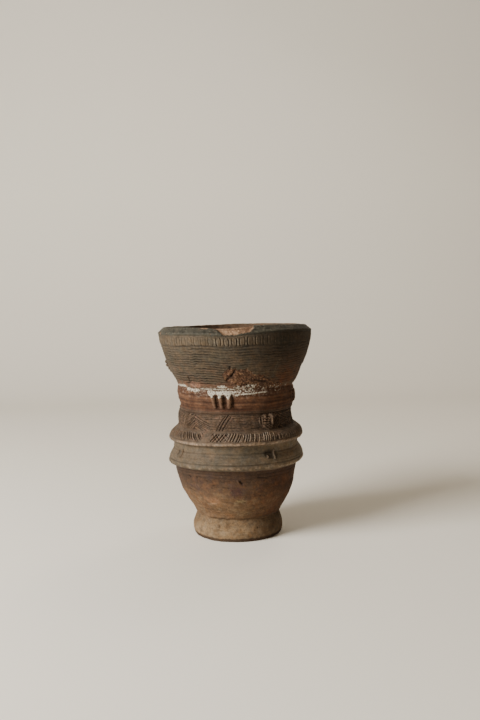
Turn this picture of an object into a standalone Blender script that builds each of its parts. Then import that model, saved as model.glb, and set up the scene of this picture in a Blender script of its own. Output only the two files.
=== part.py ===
"""Hand-built clay goblet drum (darbuka) body.

The body is built the way a potter builds it: seven coil-built wall sections stacked on
bevelled lap joints, two thick cordons keyed round the girdle wall, and small pieces of
clay applied to the outside.  It is open right through, from the mouth to the foot.

Metres, +Z up, origin at the centre of the foot's resting plane.  The front is -Y.
Azimuths are in degrees from the front, positive towards +X.
"""

import math

import bmesh
import bpy
from mathutils import Matrix

# ---------------------------------------------------------------- driving dimensions
MM = 0.001
HEIGHT = 350.0 * MM          # foot plane to lip
GAP = 0.4 * MM               # height of the slip-filled gap in a lap joint
SKIN_GAP = 0.35 * MM         # gap under an applied piece
LAP_SLOPE = 0.42             # a lap joint climbs this much for each unit inwards
SEGMENTS = 56                # facets round every turned section
GIRDLE_LOW_R = 100.0 * MM    # girdle wall behind the lower cordon
GIRDLE_HIGH_R = 96.0 * MM    # girdle wall behind the upper cordon
KEY_DEPTH = 1.2 * MM         # depth of the channel that keys a cordon
KEY_HALF = 9.0 * MM          # half height of that channel
CHIP_AT = (-2.0 * MM, -127.5 * MM, 351.5 * MM)      # broken place in the front of the lip
CHIP_HALF = (33.0 * MM, 10.4 * MM, 12.2 * MM)
BOSS_AZIMUTH = 33.0          # first of four ribbed bosses, a quarter turn apart
WAIST_AZIMUTH = -14.0        # first of four groups of strips on the waist
WAIST_PITCH = 7.3
GIRDLE_AZIMUTH = 34.5        # first of four pairs of strips across the groove of the girdle
GIRDLE_PITCH = 7.6
LUG_AZIMUTH = -94.0          # single lump on the side of the head

# joints between the wall sections, at the outer surface (millimetres)
Z_NECK, Z_BELLY, Z_GROOVE, Z_GIRDLE, Z_BAND, Z_COLLAR, Z_HEAD = 36, 112, 152, 188, 212, 252, 335.5

# outer surface, (height, radius) in millimetres, from the foot to the lip
OUTER = [
    (0.0, 71.6), (3.0, 74.6), (12.0, 76.4), (24.0, 73.8), (36.0, 70.3),
    (41.0, 72.4), (52.0, 78.8), (66.0, 87.3), (82.0, 94.3), (98.0, 98.6), (112.0, 101.8),
    (118.0, 102.8), (122.0, 103.8), (124.0, 106.8), (125.4, 111.2), (127.2, 113.0),
    (131.0, 113.9), (140.0, 111.9), (147.0, 107.6), (152.0, 105.2),
    (157.5, 104.9), (161.8, 105.6), (163.7, 108.4), (164.9, 111.4), (166.6, 112.6),
    (169.5, 112.9), (176.0, 110.2), (182.0, 103.6),
    (188.0, 98.4),
    (194.0, 97.2), (203.0, 96.1), (212.0, 95.2),
    (219.0, 95.2), (226.0, 96.7), (233.0, 97.8), (240.0, 97.6), (246.0, 98.2), (252.0, 96.9),
    (258.0, 99.6), (267.0, 104.4), (280.0, 110.8), (295.0, 117.4), (312.0, 122.9),
    (328.0, 127.2), (335.5, 128.3),
    (341.0, 128.8), (350.0, 119.6),
]
# inner surface, the same way
INNER = [
    (0.0, 62.0), (12.0, 63.0), (24.0, 62.2), (36.0, 60.0), (42.0, 61.8), (52.0, 68.0),
    (64.0, 76.2), (78.0, 83.1), (94.0, 87.9), (116.5, 90.6), (134.0, 91.4), (152.0, 91.0),
    (172.0, 89.6), (192.5, 87.4), (216.5, 85.8), (240.0, 86.8), (256.5, 89.4), (266.0, 94.2),
    (280.0, 101.0), (296.0, 107.6), (314.0, 113.2), (330.0, 116.4), (340.0, 117.6),
    (350.0, 115.8),
]


# ---------------------------------------------------------------- helpers
def radius(profile, z):
    """Radius of a profile at height z, both in millimetres."""
    for (z0, r0), (z1, r1) in zip(profile, profile[1:]):
        if z0 <= z <= z1:
            return r0 + (r1 - r0) * (z - z0) / (z1 - z0)
    return profile[0][1] if z < profile[0][0] else profile[-1][1]


def span(profile, low, high):
    """The profile's own points strictly between two heights, bottom to top."""
    return [(r, z) for z, r in profile if low + 0.05 < z < high - 0.05]


def material(name, colour, roughness):
    mat = bpy.data.materials.new(name)
    mat.use_nodes = True
    bsdf = mat.node_tree.nodes["Principled BSDF"]
    bsdf.inputs["Base Color"].default_value = (*colour, 1.0)
    bsdf.inputs["Roughness"].default_value = roughness
    bsdf.inputs["Metallic"].default_value = 0.0
    return mat


def link(obj, collection, mat=None):
    collection.objects.link(obj)
    if mat is not None:
        obj.data.materials.append(mat)
    return obj


def turned(name, loop, collection, mat=None, closed=True):
    """A ring or solid turned from a section of (radius, height) points in millimetres.

    The points run down the outside, across the bottom and up the inside.
    """
    mesh = bpy.data.meshes.new(name)
    verts = [(r * MM, 0.0, z * MM) for r, z in loop]
    count = len(verts)
    edges = [(i, i + 1) for i in range(count - 1)]
    if closed:
        edges.append((count - 1, 0))
    mesh.from_pydata(verts, edges, [])
    obj = link(bpy.data.objects.new(name, mesh), collection, mat)
    screw = obj.modifiers.new("turn", "SCREW")
    screw.axis = "Z"
    screw.angle = math.tau
    screw.steps = SEGMENTS
    screw.render_steps = SEGMENTS
    screw.use_merge_vertices = True
    screw.merge_threshold = 1e-5
    screw.use_smooth_shade = True
    return obj


def lap(joint, r, offset):
    """Height of a lap joint's face at radius r, in millimetres.

    The face is a cone that climbs from the outer surface to the inner one.
    """
    if joint in (0.0, HEIGHT / MM):
        return joint
    return joint + offset + LAP_SLOPE * (radius(OUTER, joint) - r)


def lap_inside(joint, offset):
    """Where a lap joint's face meets the inner surface."""
    z = joint
    for _ in range(30):
        z = lap(joint, radius(INNER, z), offset)
    return radius(INNER, z), z


def section(low, high, outer=None):
    """Cross-section of one wall ring between two lap joints, in millimetres."""
    outer = outer or OUTER
    half = 0.5 * GAP / MM
    low_r, high_r = radius(outer, low), radius(outer, high)
    low_z, high_z = lap(low, low_r, half), lap(high, high_r, -half)
    low_in, high_in = lap_inside(low, half), lap_inside(high, -half)
    down = [(high_r, high_z)] + span(outer, low_z, high_z)[::-1] + [(low_r, low_z)]
    return down + [low_in] + span(INNER, low_in[1], high_in[1]) + [high_in]


def about_axis(azimuth, r, z):
    """Frame on the wall: local X along the wall, Y outwards, Z up."""
    a = math.radians(azimuth)
    place = Matrix.Translation((r * math.sin(a), -r * math.cos(a), z))
    return place @ Matrix.Rotation(a + math.pi, 4, "Z")


def ellipsoid(name, half, collection, mat=None, rings=10, around=14, squareness=1.0):
    """A pressed lump of clay: a sphere stretched to three half sizes, a little squared off."""
    mesh = bpy.data.meshes.new(name)
    bm = bmesh.new()
    bmesh.ops.create_uvsphere(bm, u_segments=around, v_segments=rings, radius=1.0)
    for vert in bm.verts:
        if squareness != 1.0:
            for axis in range(3):
                c = vert.co[axis]
                vert.co[axis] = math.copysign(abs(c) ** squareness, c)
        vert.co.x *= half[0]
        vert.co.y *= half[1]
        vert.co.z *= half[2]
    bm.to_mesh(mesh)
    bm.free()
    mesh.shade_smooth()
    return link(bpy.data.objects.new(name, mesh), collection, mat)


def as_cutter(obj):
    obj.hide_render = True
    obj.display_type = "WIRE"
    return obj


def cut(obj, cutter, operation="DIFFERENCE"):
    boolean = obj.modifiers.new("fit", "BOOLEAN")
    boolean.operation = operation
    boolean.solver = "EXACT"
    boolean.object = cutter


# ---------------------------------------------------------------- scene
for old in list(bpy.data.objects):
    bpy.data.objects.remove(old)

drum = bpy.data.collections.new("darbuka")
cutters = bpy.data.collections.new("cutters")
bpy.context.scene.collection.children.link(drum)
bpy.context.scene.collection.children.link(cutters)

RIM = material("smoked_rim", (0.060, 0.062, 0.052), 0.55)
HEAD = material("combed_clay", (0.120, 0.088, 0.060), 0.80)
SLIP = material("red_slip", (0.170, 0.075, 0.045), 0.70)
BAND = material("patterned_clay", (0.125, 0.080, 0.055), 0.80)
CORDON = material("cordon_clay", (0.150, 0.115, 0.078), 0.70)
BELLY = material("belly_clay", (0.180, 0.105, 0.062), 0.75)
FOOT = material("buff_clay", (0.270, 0.175, 0.105), 0.80)
APPLIED = material("applied_clay", (0.150, 0.092, 0.060), 0.80)

body = bpy.data.objects.new("drum_body", None)
drum.objects.link(body)

# ---------------------------------------------------------------- wall sections
walls = [
    turned("foot_ring", section(0.0, Z_NECK), drum, FOOT),
    turned("belly_bowl", section(Z_NECK, Z_BELLY), drum, BELLY),
    turned("patterned_band", section(Z_GIRDLE, Z_BAND), drum, BAND),
    turned("waist_collar", section(Z_BAND, Z_COLLAR), drum, SLIP),
    turned("head_bowl", section(Z_COLLAR, Z_HEAD), drum, HEAD),
    turned("rim_coil", section(Z_HEAD, HEIGHT / MM), drum, RIM),
]

# The girdle wall carries the two cordons in shallow channels.
low_r, high_r, key = GIRDLE_LOW_R / MM, GIRDLE_HIGH_R / MM, KEY_DEPTH / MM
half = KEY_HALF / MM
low_mid, high_mid = 131.0, 169.5
step = Z_GROOVE
girdle_outer = [
    (Z_BELLY, low_r), (low_mid - half, low_r), (low_mid - half + 0.6, low_r - key),
    (low_mid + half - 0.6, low_r - key), (low_mid + half, low_r), (step - 0.3, low_r),
    (step + 0.3, high_r), (high_mid - half, high_r), (high_mid - half + 0.6, high_r - key),
    (high_mid + half - 0.6, high_r - key), (high_mid + half, high_r), (Z_GIRDLE, high_r),
]
walls.append(turned("girdle_wall", section(Z_BELLY, Z_GIRDLE, outer=girdle_outer), drum, BELLY))


def cordon(low, high, wall, middle):
    """Section of a cordon: its weathered outside, and the key that sits in the wall's channel."""
    seat = wall + SKIN_GAP / MM
    tongue = seat - key
    reach = half - 0.9
    gap = 0.5 * GAP / MM
    low_seat = lap(low, seat, gap) if low == Z_BELLY else low + gap
    high_seat = lap(high, seat, -gap) if high == Z_GIRDLE else high - gap
    low, high = low + gap, high - gap
    down = [(radius(OUTER, high), high)] + span(OUTER, low, high)[::-1]
    down.append((radius(OUTER, low), low))
    inside = [
        (seat, low_seat), (seat, middle - reach), (tongue, middle - reach + 0.6),
        (tongue, middle + reach - 0.6), (seat, middle + reach), (seat, high_seat),
    ]
    return down + inside


walls.append(turned("lower_cordon", cordon(Z_BELLY, Z_GROOVE, low_r, low_mid), drum, CORDON))
walls.append(turned("upper_cordon", cordon(Z_GROOVE + 0.4, Z_GIRDLE, high_r, high_mid), drum, CORDON))

# The lip is broken away at the front.
chip = as_cutter(ellipsoid("chip_cutter", CHIP_HALF, cutters, rings=10, around=16))
chip.location = CHIP_AT
rim = bpy.data.objects["rim_coil"]
cut(rim, chip)

# ---------------------------------------------------------------- applied pieces
# A turned copy of the whole outer surface, one skin gap larger, shapes their backs.
skin_loop = [(radius(OUTER, 330.0) + SKIN_GAP / MM, 330.0)]
skin_loop += [(r + SKIN_GAP / MM, z) for r, z in span(OUTER, 90.0, 330.0)[::-1]]
skin_loop += [(radius(OUTER, 90.0) + SKIN_GAP / MM, 90.0), (40.0, 90.0), (40.0, 330.0)]
skin = as_cutter(turned("outer_skin", skin_loop, cutters))

QUARTERS = ("front", "right", "back", "left")
DIAGONALS = ("front_right", "back_right", "back_left", "front_left")
applied = []


def apply_clay(name, azimuth, r, z, half_sizes, tilt=0.0, **shape):
    piece = ellipsoid(name, half_sizes, drum, APPLIED, **shape)
    piece.matrix_world = about_axis(azimuth, r, z) @ Matrix.Rotation(math.radians(tilt), 4, "X")
    cut(piece, skin)
    applied.append(piece)


STRIP_REACH = (6.8, 5.0, 6.2, 4.6)      # how far a strip reaches out from its centre, by quarter
for quarter, where in enumerate(QUARTERS):
    for side, offset in (("a", -1), ("b", 0), ("c", 1)):
        apply_clay(
            f"waist_strip_{where}_{side}",
            WAIST_AZIMUTH + 90.0 * quarter + WAIST_PITCH * offset,
            95.8 * MM, 233.5 * MM, (4.0 * MM, STRIP_REACH[quarter] * MM, 13.0 * MM),
            squareness=0.8, rings=8, around=12,
        )

for quarter, where in enumerate(DIAGONALS):
    for side, offset in (("a", -0.5), ("b", 0.5)):
        apply_clay(
            f"girdle_strip_{where}_{side}",
            GIRDLE_AZIMUTH + 90.0 * quarter + GIRDLE_PITCH * offset,
            107.0 * MM, 148.0 * MM, (3.0 * MM, 5.2 * MM, 12.0 * MM), tilt=2.0,
            squareness=0.8, rings=8, around=12,
        )
    apply_clay(
        f"boss_{where}",
        BOSS_AZIMUTH + 90.0 * quarter,
        94.4 * MM, 201.0 * MM, (15.0 * MM, 6.0 * MM, 14.0 * MM),
        squareness=0.8, rings=10, around=16,
    )

apply_clay(
    "side_lug", LUG_AZIMUTH, 112.6 * MM, 284.5 * MM, (7.0 * MM, 4.6 * MM, 11.5 * MM), tilt=24.0,
    rings=10, around=14,
)

for piece in walls:
    piece.parent = body
for piece in applied:
    world = piece.matrix_world.copy()
    piece.parent = body
    piece.matrix_world = world
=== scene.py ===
"""Looks for the hand-built clay goblet drum: fine surfaces, clay materials, studio.

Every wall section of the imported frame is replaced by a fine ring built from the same
profile, with the combing, stamping, breaks and wear of the real clay as geometry.
Lengths inside the clay functions are millimetres, azimuths are degrees from the front
(-Y), positive towards +X.
"""
import math

import bpy
import numpy as np
from mathutils import Matrix, Vector


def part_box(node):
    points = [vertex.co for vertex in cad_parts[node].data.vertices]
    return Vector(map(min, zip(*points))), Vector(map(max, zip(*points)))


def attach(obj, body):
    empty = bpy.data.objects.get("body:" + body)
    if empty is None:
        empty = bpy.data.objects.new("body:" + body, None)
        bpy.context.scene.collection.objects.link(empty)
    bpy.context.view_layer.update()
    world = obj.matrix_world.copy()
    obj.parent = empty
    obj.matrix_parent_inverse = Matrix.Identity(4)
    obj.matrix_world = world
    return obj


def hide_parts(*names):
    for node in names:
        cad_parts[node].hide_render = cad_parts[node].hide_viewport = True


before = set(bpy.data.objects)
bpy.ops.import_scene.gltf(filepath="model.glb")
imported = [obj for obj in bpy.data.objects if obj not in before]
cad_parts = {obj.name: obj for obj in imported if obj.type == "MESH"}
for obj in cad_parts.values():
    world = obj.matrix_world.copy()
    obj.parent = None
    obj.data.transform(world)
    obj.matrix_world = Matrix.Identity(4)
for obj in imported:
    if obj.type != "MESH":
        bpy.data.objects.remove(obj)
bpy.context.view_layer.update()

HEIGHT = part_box("rim_coil")[1][2] * 1000.0

# ------------------------------------------------------------------ small maths
_rng = np.random.RandomState(11)
_PERM = _rng.permutation(256)
_GRAD = _rng.normal(size=(256, 3))
_GRAD /= np.linalg.norm(_GRAD, axis=1, keepdims=True)


def noise(p, seed=0):
    """Smooth gradient noise at points p (..., 3), about -1 to 1."""
    p = p + seed * 19.37
    cell = np.floor(p).astype(np.int64)
    f = p - cell
    cell &= 255
    u = f * f * f * (f * (f * 6.0 - 15.0) + 10.0)
    total = np.zeros(p.shape[:-1])
    for dx in (0, 1):
        wx = u[..., 0] if dx else 1.0 - u[..., 0]
        a = _PERM[(cell[..., 0] + dx) & 255]
        for dy in (0, 1):
            wy = wx * (u[..., 1] if dy else 1.0 - u[..., 1])
            b = _PERM[(a + cell[..., 1] + dy) & 255]
            for dz in (0, 1):
                g = _GRAD[_PERM[(b + cell[..., 2] + dz) & 255]]
                w = wy * (u[..., 2] if dz else 1.0 - u[..., 2])
                total += w * (
                    g[..., 0] * (f[..., 0] - dx)
                    + g[..., 1] * (f[..., 1] - dy)
                    + g[..., 2] * (f[..., 2] - dz)
                )
    return total * 1.7


def fbm(p, size, octaves=3, seed=0, stretch=(1.0, 1.0, 1.0)):
    """Layered noise; size is the largest feature in millimetres."""
    q = p / (np.array(stretch) * size)
    out, amp, norm = 0.0, 1.0, 0.0
    for k in range(octaves):
        out = out + amp * noise(q * (2.0 ** k), seed + 7 * k)
        norm += amp
        amp *= 0.55
    return out / norm * 1.3


def smooth(lo, hi, x):
    t = np.clip((x - lo) / (hi - lo), 0.0, 1.0)
    return t * t * (3.0 - 2.0 * t)


def hump(x, middle, half):
    return np.exp(-(((x - middle) / half) ** 2))


def band(x, lo, hi, soft):
    """1 between lo and hi, with soft shoulders."""
    return smooth(lo - soft, lo + soft, x) * (1.0 - smooth(hi - soft, hi + soft, x))


def mix(a, b, t):
    t = np.asarray(t)[..., None]
    return a * (1.0 - t) + np.asarray(b) * t


def wrap(az):
    return (np.asarray(az) + 180.0) % 360.0 - 180.0


def curve(points, step=0.25):
    """A smooth single-valued curve through (z, r) points, as a dense lookup table."""
    z = np.array([p[0] for p in points], float)
    r = np.array([p[1] for p in points], float)
    dz = np.diff(z)
    slope = np.diff(r) / dz
    m = np.empty_like(r)
    m[0], m[-1] = slope[0], slope[-1]
    before, after = slope[:-1], slope[1:]
    same = before * after > 0.0
    wa, wb = 2.0 * dz[1:] + dz[:-1], dz[1:] + 2.0 * dz[:-1]
    safe_b, safe_a = np.where(same, before, 1.0), np.where(same, after, 1.0)
    m[1:-1] = np.where(same, (wa + wb) / (wa / safe_b + wb / safe_a), 0.0)
    zz = np.arange(z[0], z[-1] + step * 0.5, step)
    k = np.clip(np.searchsorted(z, zz, side="right") - 1, 0, len(z) - 2)
    h = dz[k]
    t = (zz - z[k]) / h
    t2, t3 = t * t, t * t * t
    rr = (
        (2 * t3 - 3 * t2 + 1) * r[k] + (t3 - 2 * t2 + t) * h * m[k]
        + (-2 * t3 + 3 * t2) * r[k + 1] + (t3 - t2) * h * m[k + 1]
    )
    return zz, rr


# ------------------------------------------------------------------ the drum's form
OUTER = curve([
    (0.0, 72.9), (1.2, 73.8), (3.0, 74.5), (5.2, 75.2), (8.0, 75.9), (12.0, 76.3), (16.0, 75.9),
    (20.0, 74.9), (24.0, 73.7), (28.0, 72.3), (32.0, 71.0), (35.0, 70.0), (37.5, 70.2),
    (40.0, 71.6), (44.0, 73.8), (48.0, 76.2), (54.0, 80.0), (60.0, 83.7), (66.0, 87.1),
    (72.0, 90.3), (80.0, 93.7), (88.0, 96.3), (96.0, 98.1), (104.0, 99.7), (109.0, 101.0),
    (113.0, 101.9), (118.0, 102.7), (121.5, 103.5), (123.3, 105.6), (124.4, 109.0),
    (125.4, 111.6), (127.2, 113.2), (130.0, 113.9), (133.0, 113.5), (137.0, 112.4),
    (141.0, 111.0), (145.0, 108.5), (149.0, 106.1), (153.0, 105.1), (158.0, 104.8),
    (161.6, 105.4), (163.1, 107.4), (164.1, 110.2), (165.2, 112.0), (167.2, 113.0),
    (169.8, 112.9), (172.4, 112.0), (176.5, 109.6), (180.0, 105.6), (184.0, 101.2),
    (187.0, 98.3), (189.5, 97.3), (194.0, 97.0), (200.0, 96.4), (206.0, 95.6), (212.0, 95.2),
    (218.0, 95.2), (224.0, 96.0), (229.0, 97.0), (234.0, 97.5), (240.0, 97.2), (245.0, 97.7),
    (249.0, 97.4), (252.5, 96.9), (256.0, 98.5), (260.0, 100.6), (266.0, 103.9),
    (272.0, 107.2), (280.0, 110.7), (288.0, 114.6), (294.0, 117.1), (302.0, 119.8),
    (312.0, 122.8), (322.0, 125.7), (330.0, 127.3), (336.0, 128.0), (341.0, 128.5),
    (346.0, 128.7), (352.0, 128.9),
])
INNER = curve([
    (0.0, 62.0), (3.0, 63.2), (12.0, 63.0), (24.0, 62.2), (36.0, 60.0), (42.0, 61.8),
    (52.0, 68.0), (64.0, 76.2), (78.0, 83.1), (94.0, 87.9), (116.5, 90.6), (134.0, 91.4),
    (152.0, 91.0), (172.0, 89.6), (192.5, 87.4), (216.5, 85.8), (240.0, 86.8), (256.5, 89.6),
    (266.0, 94.2), (280.0, 101.0), (296.0, 107.6), (314.0, 113.2), (330.0, 116.4),
    (340.0, 117.6), (350.0, 115.8), (353.0, 115.0),
])


def r_out(z):
    return np.interp(z, *OUTER)


def r_in(z):
    return np.interp(z, *INNER)


def slope_out(z):
    return (r_out(z + 0.6) - r_out(z - 0.6)) / 1.2


# sideways lean of the hand-built body, (height, shift)
LEAN = curve([
    (-5.0, 0.2), (20.0, 0.5), (36.0, 0.8), (48.0, 1.8), (64.0, 1.2), (80.0, 0.2), (98.0, -0.8),
    (112.0, -1.4), (124.0, -1.2), (134.0, -0.2), (144.0, 0.1), (153.0, -0.8), (164.0, -0.4),
    (174.0, 1.0), (182.0, 1.6), (190.0, 0.2), (204.0, -1.2), (212.0, 0.0), (222.0, 2.6),
    (236.0, 1.4), (248.0, 0.6), (262.0, 2.6), (280.0, 1.6), (305.0, 2.3), (340.0, 1.3),
    (356.0, 1.2),
])

GRID = np.arange(-180.0, 180.0, 0.5)


def around(points, soft=4.0):
    """A smooth value all the way round, from (azimuth, value) points."""
    v = np.interp(GRID, [p[0] for p in points], [p[1] for p in points], period=360.0)
    k = np.arange(-60, 61) * 0.5
    kernel = np.exp(-((k / soft) ** 2))
    return np.convolve(np.concatenate([v[-60:], v, v[:60]]), kernel / kernel.sum(), "valid")


def at(values, az):
    return np.interp(wrap(az), GRID, values, period=360.0)


# how far the arris and the lip stray from level, as on a rim coiled by hand
ARRIS_LIFT = around([
    (-180, -0.8), (-140, -1.2), (-90, 0.2), (-60, 2.0), (-24, 3.0), (-8, 1.2), (0, 0.6),
    (8, 3.0), (26, 5.0), (45, 5.4), (65, 3.6), (90, 0.8), (140, -0.6),
])
LIP_LIFT = around([
    (-180, -0.8), (-140, -2.4), (-90, 0.0), (-45, 2.9), (-15, 1.7), (0, 1.6), (14, 5.2),
    (35, 4.6), (60, 3.0), (90, 0.0), (140, -0.6),
])


def warp(p):
    """The shared lean, tilt and unroundness of the whole body; p in millimetres."""
    x, y, z = p[..., 0], p[..., 1], p[..., 2]
    az = np.arctan2(x, -y)
    round_off = 1.0 + 0.0030 * np.cos(2.0 * (az - 0.7)) + 0.002 * np.cos(3.0 * az + 1.0)
    tilt = 1.3 * hump(z, 152.0, 34.0)
    wave = 0.45 * np.sin(2.0 * az + 0.6 + z * 0.013) + 0.35 * np.sin(3.0 * az - 1.1 - z * 0.021)
    fade = smooth(4.0, 40.0, z) * (1.0 - smooth(285.0, 325.0, z))
    deg = np.degrees(az)
    arris = at(ARRIS_LIFT, deg)
    lift = arris * smooth(312.0, 341.0, z) + (at(LIP_LIFT, deg) - arris) * smooth(341.0, 350.0, z)
    out = np.empty_like(p)
    out[..., 0] = x * round_off + np.interp(z, *LEAN)
    out[..., 1] = y * round_off
    out[..., 2] = z + (tilt * x / 113.0 + wave) * fade + lift
    return out


def base_point(az, z, r=None):
    a = np.radians(az)
    r = r_out(z) if r is None else r
    return np.stack([r * np.sin(a), -r * np.cos(a), z + 0.0 * a], axis=-1)


# ------------------------------------------------------------------ relief of the clay
def stroke(az, z, p, q, half):
    """A drawn line from p to q, each (azimuth, height): 1 on the line, 0 away from it."""
    k = math.radians(1.0) * 0.5 * float(r_out(p[1]) + r_out(q[1]))
    ax, ay = wrap(az - p[0]) * k, z - p[1]
    bx, by = (q[0] - p[0]) * k, q[1] - p[1]
    t = np.clip((ax * bx + ay * by) / (bx * bx + by * by), 0.0, 1.0)
    return np.exp(-((np.hypot(ax - t * bx, ay - t * by) / half) ** 2))


def spot(az, z, az0, z0, half_az, half_z):
    """1 in the middle of an oval patch, 0 at its edge, below 0 outside."""
    return 1.0 - np.hypot(wrap(az - az0) / half_az, (z - z0) / half_z)


def stamps(az, z, lo, hi, pitch, lean, depth, width, z0, z1, key, soft=1.4):
    """A run of strokes pressed side by side between two azimuths, each with a raised edge."""
    mid, half = 0.5 * (z0 + z1), 0.5 * (z1 - z0)
    k = (az - lean * (z - mid)) / pitch
    cell = np.floor(k)
    f = (k - cell - 0.5 - np.sin(cell * 78.233 + key) * 0.16) * pitch * 1.9
    press = np.clip(0.85 + 0.8 * noise(np.stack([cell * 2.93, cell * 0.0 + key, cell * 0.0], -1), 3), 0.25, 1.25)
    reach = half * (1.0 - 0.16 * np.abs(np.sin(cell * 3.1 + key)))
    ends = 1.0 - smooth(reach * 0.70, reach, np.abs(z - mid + 0.8 * np.sin(cell * 5.3 + key)))
    cut = np.exp(-((f / width) ** 2)) - 0.30 * np.exp(-(((np.abs(f) - 2.0 * width) / (0.8 * width)) ** 2))
    return -depth * cut * ends * press * band(az, lo, hi, soft)


def chip_mask(az, s):
    """Big break in the front of the lip. s runs 0 at the inner lip edge to 1 under the arris."""
    x = az * 2.2
    p = np.stack([x, s * 17.0, 0.0 * az], axis=-1)
    edge = 1.5 * noise(p / 3.4, 3) + 0.8 * noise(p / 1.4, 4)
    left = -16.3 + 8.8 * np.clip(s, 0.0, 1.0) ** 0.8 - 8.5 * np.clip(1.0 - s / 0.34, 0.0, 1.0) ** 0.7
    right = 15.0 - 1.4 * s - 5.4 * np.clip(s, 0.0, 1.0) ** 3
    bottom = 0.97 - 0.16 * np.abs(noise(np.stack([x / 8.0, 0 * x, 0 * x + 3.0], -1), 8)) - 0.10 * smooth(2.0, 14.0, x)
    side = np.minimum(az - left, right - az) * 2.2
    return smooth(-0.4, 0.9, np.minimum(side + edge, (bottom - s) * 17.0 + 0.6 * edge))


SCAR = [(-2.0, 276.0, 8.0, 13.0), (7.0, 271.5, 9.5, 16.0), (16.5, 265.0, 10.5, 14.0), (26.0, 259.5, 11.5, 9.5), (36.0, 256.0, 10.0, 6.0)]


def scar_mask(az, z):
    m = np.full(np.broadcast(az, z).shape, -3.0)
    for a0, z0, wa, wz in SCAR:
        m = np.maximum(m, spot(az, z, a0, z0, wa, wz))
    q = base_point(az, z)
    return smooth(-0.06, 0.12, m + 0.22 * noise(q / 5.0, 21) + 0.14 * noise(q / 2.2, 22))


def crust_mask(az, z):
    """White mineral crust caught in the crease under the head, in grains and smears."""
    q = base_point(az, z)
    n0, n1, n2, n3 = noise(q / 8.0, 30), noise(q / 3.6, 31), noise(q / 1.9, 32), noise(q / 1.15, 33)
    wob = noise(base_point(az, 0 * z) / 16.0, 34)
    drips = 0.0
    for a0, depth, w in (
        (-21.5, 4.2, 2.1), (-14.4, 6.2, 1.7), (-6.4, 7.2, 2.2), (-1.2, 2.0, 1.0), (4.0, 2.2, 1.2),
        (8.0, 1.6, 1.0), (-24.5, 2.0, 1.4),
    ):
        drips = drips + depth * hump(az, a0, w)
    low_edge = 246.0 + 0.03 * np.abs(az + 13.0) + 1.6 * n1 - drips
    mass = smooth(-1.0, 1.4, z - low_edge) * (1.0 - smooth(250.4, 254.0, z + 1.2 * n0)) * band(az, -27.0, 3.0, 2.0)
    tail = hump(z, 244.9 + 0.10 * az + 0.8 * wob, 1.9 - 0.016 * np.clip(az, 0, 40)) * band(az, -1.0, 32.0, 4.0)
    line = hump(z, 254.3 + 0.8 * wob, 1.5) * band(az, -34.0, 5.0, 2.0)
    cap = smooth(0.0, 0.4, spot(az, z, -12.5, 259.0, 6.0, 2.6)) * 0.85
    left = hump(z, 251.6 + 0.9 * wob, 3.0) * band(az, -55.0, -35.0, 2.0) * 0.80
    far_left = hump(z, 255.0 + wob, 2.4) * band(az, -76.0, -54.0, 3.0) * 0.92
    back = (0.62 + 0.30 * noise(base_point(az, 0 * z) / 9.0, 35)) * hump(z, 251.6 + 2.0 * wob, 3.0) * band(wrap(az - 150.0), -52.0, 60.0, 9.0)
    scatter = 0.50 * band(z, 247.0, 261.0, 2.5) * band(az, -2.0, 20.0, 3.0)
    thin = 0.26 * band(z, 246.0, 259.0, 3.0) * band(az, 16.0, 60.0, 6.0) + 0.22 * band(z, 245.0, 262.0, 4.0) * band(az, -34.0, -2.0, 3.0)
    amount = np.maximum.reduce([mass * (0.78 + 0.10 * n0), tail * 0.80, line * 0.80, cap * 0.88, left * 0.92, far_left * 0.88, back, scatter, thin])
    here = smooth(0.04, 0.25, amount)
    return smooth(0.50, 0.66, amount + here * (0.22 * n1 + 0.44 * n2 + 0.34 * n3))


def comb(az, z, lo, hi, pitch, seed, wobble=0.55, half=0.17):
    """Dragged comb lines: 0 on the clay between them, -1 at the bottom of a groove."""
    q = base_point(az, 0.0 * z, 110.0)
    drift = wobble * pitch * (noise(q / 34.0, seed) + 0.5 * noise(q / 11.0, seed + 1))
    k = (z + drift - lo) / pitch
    cell = np.floor(k)
    f = k - cell
    tooth = np.exp(-(((f - 0.5 - np.sin(cell * 12.9898 + seed) * 0.16) / half) ** 2))
    q2 = np.stack([np.sin(np.radians(az)) * 110.0, -np.cos(np.radians(az)) * 110.0, cell * 37.0 + 0.0 * az], axis=-1)
    press = np.clip(0.66 + 0.75 * noise(q2 / 26.0, seed + 2) + 0.4 * noise(q2 / 6.0, seed + 3), 0.0, 1.25)
    return -tooth * press * band(z, lo, hi, pitch * 0.35)


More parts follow.
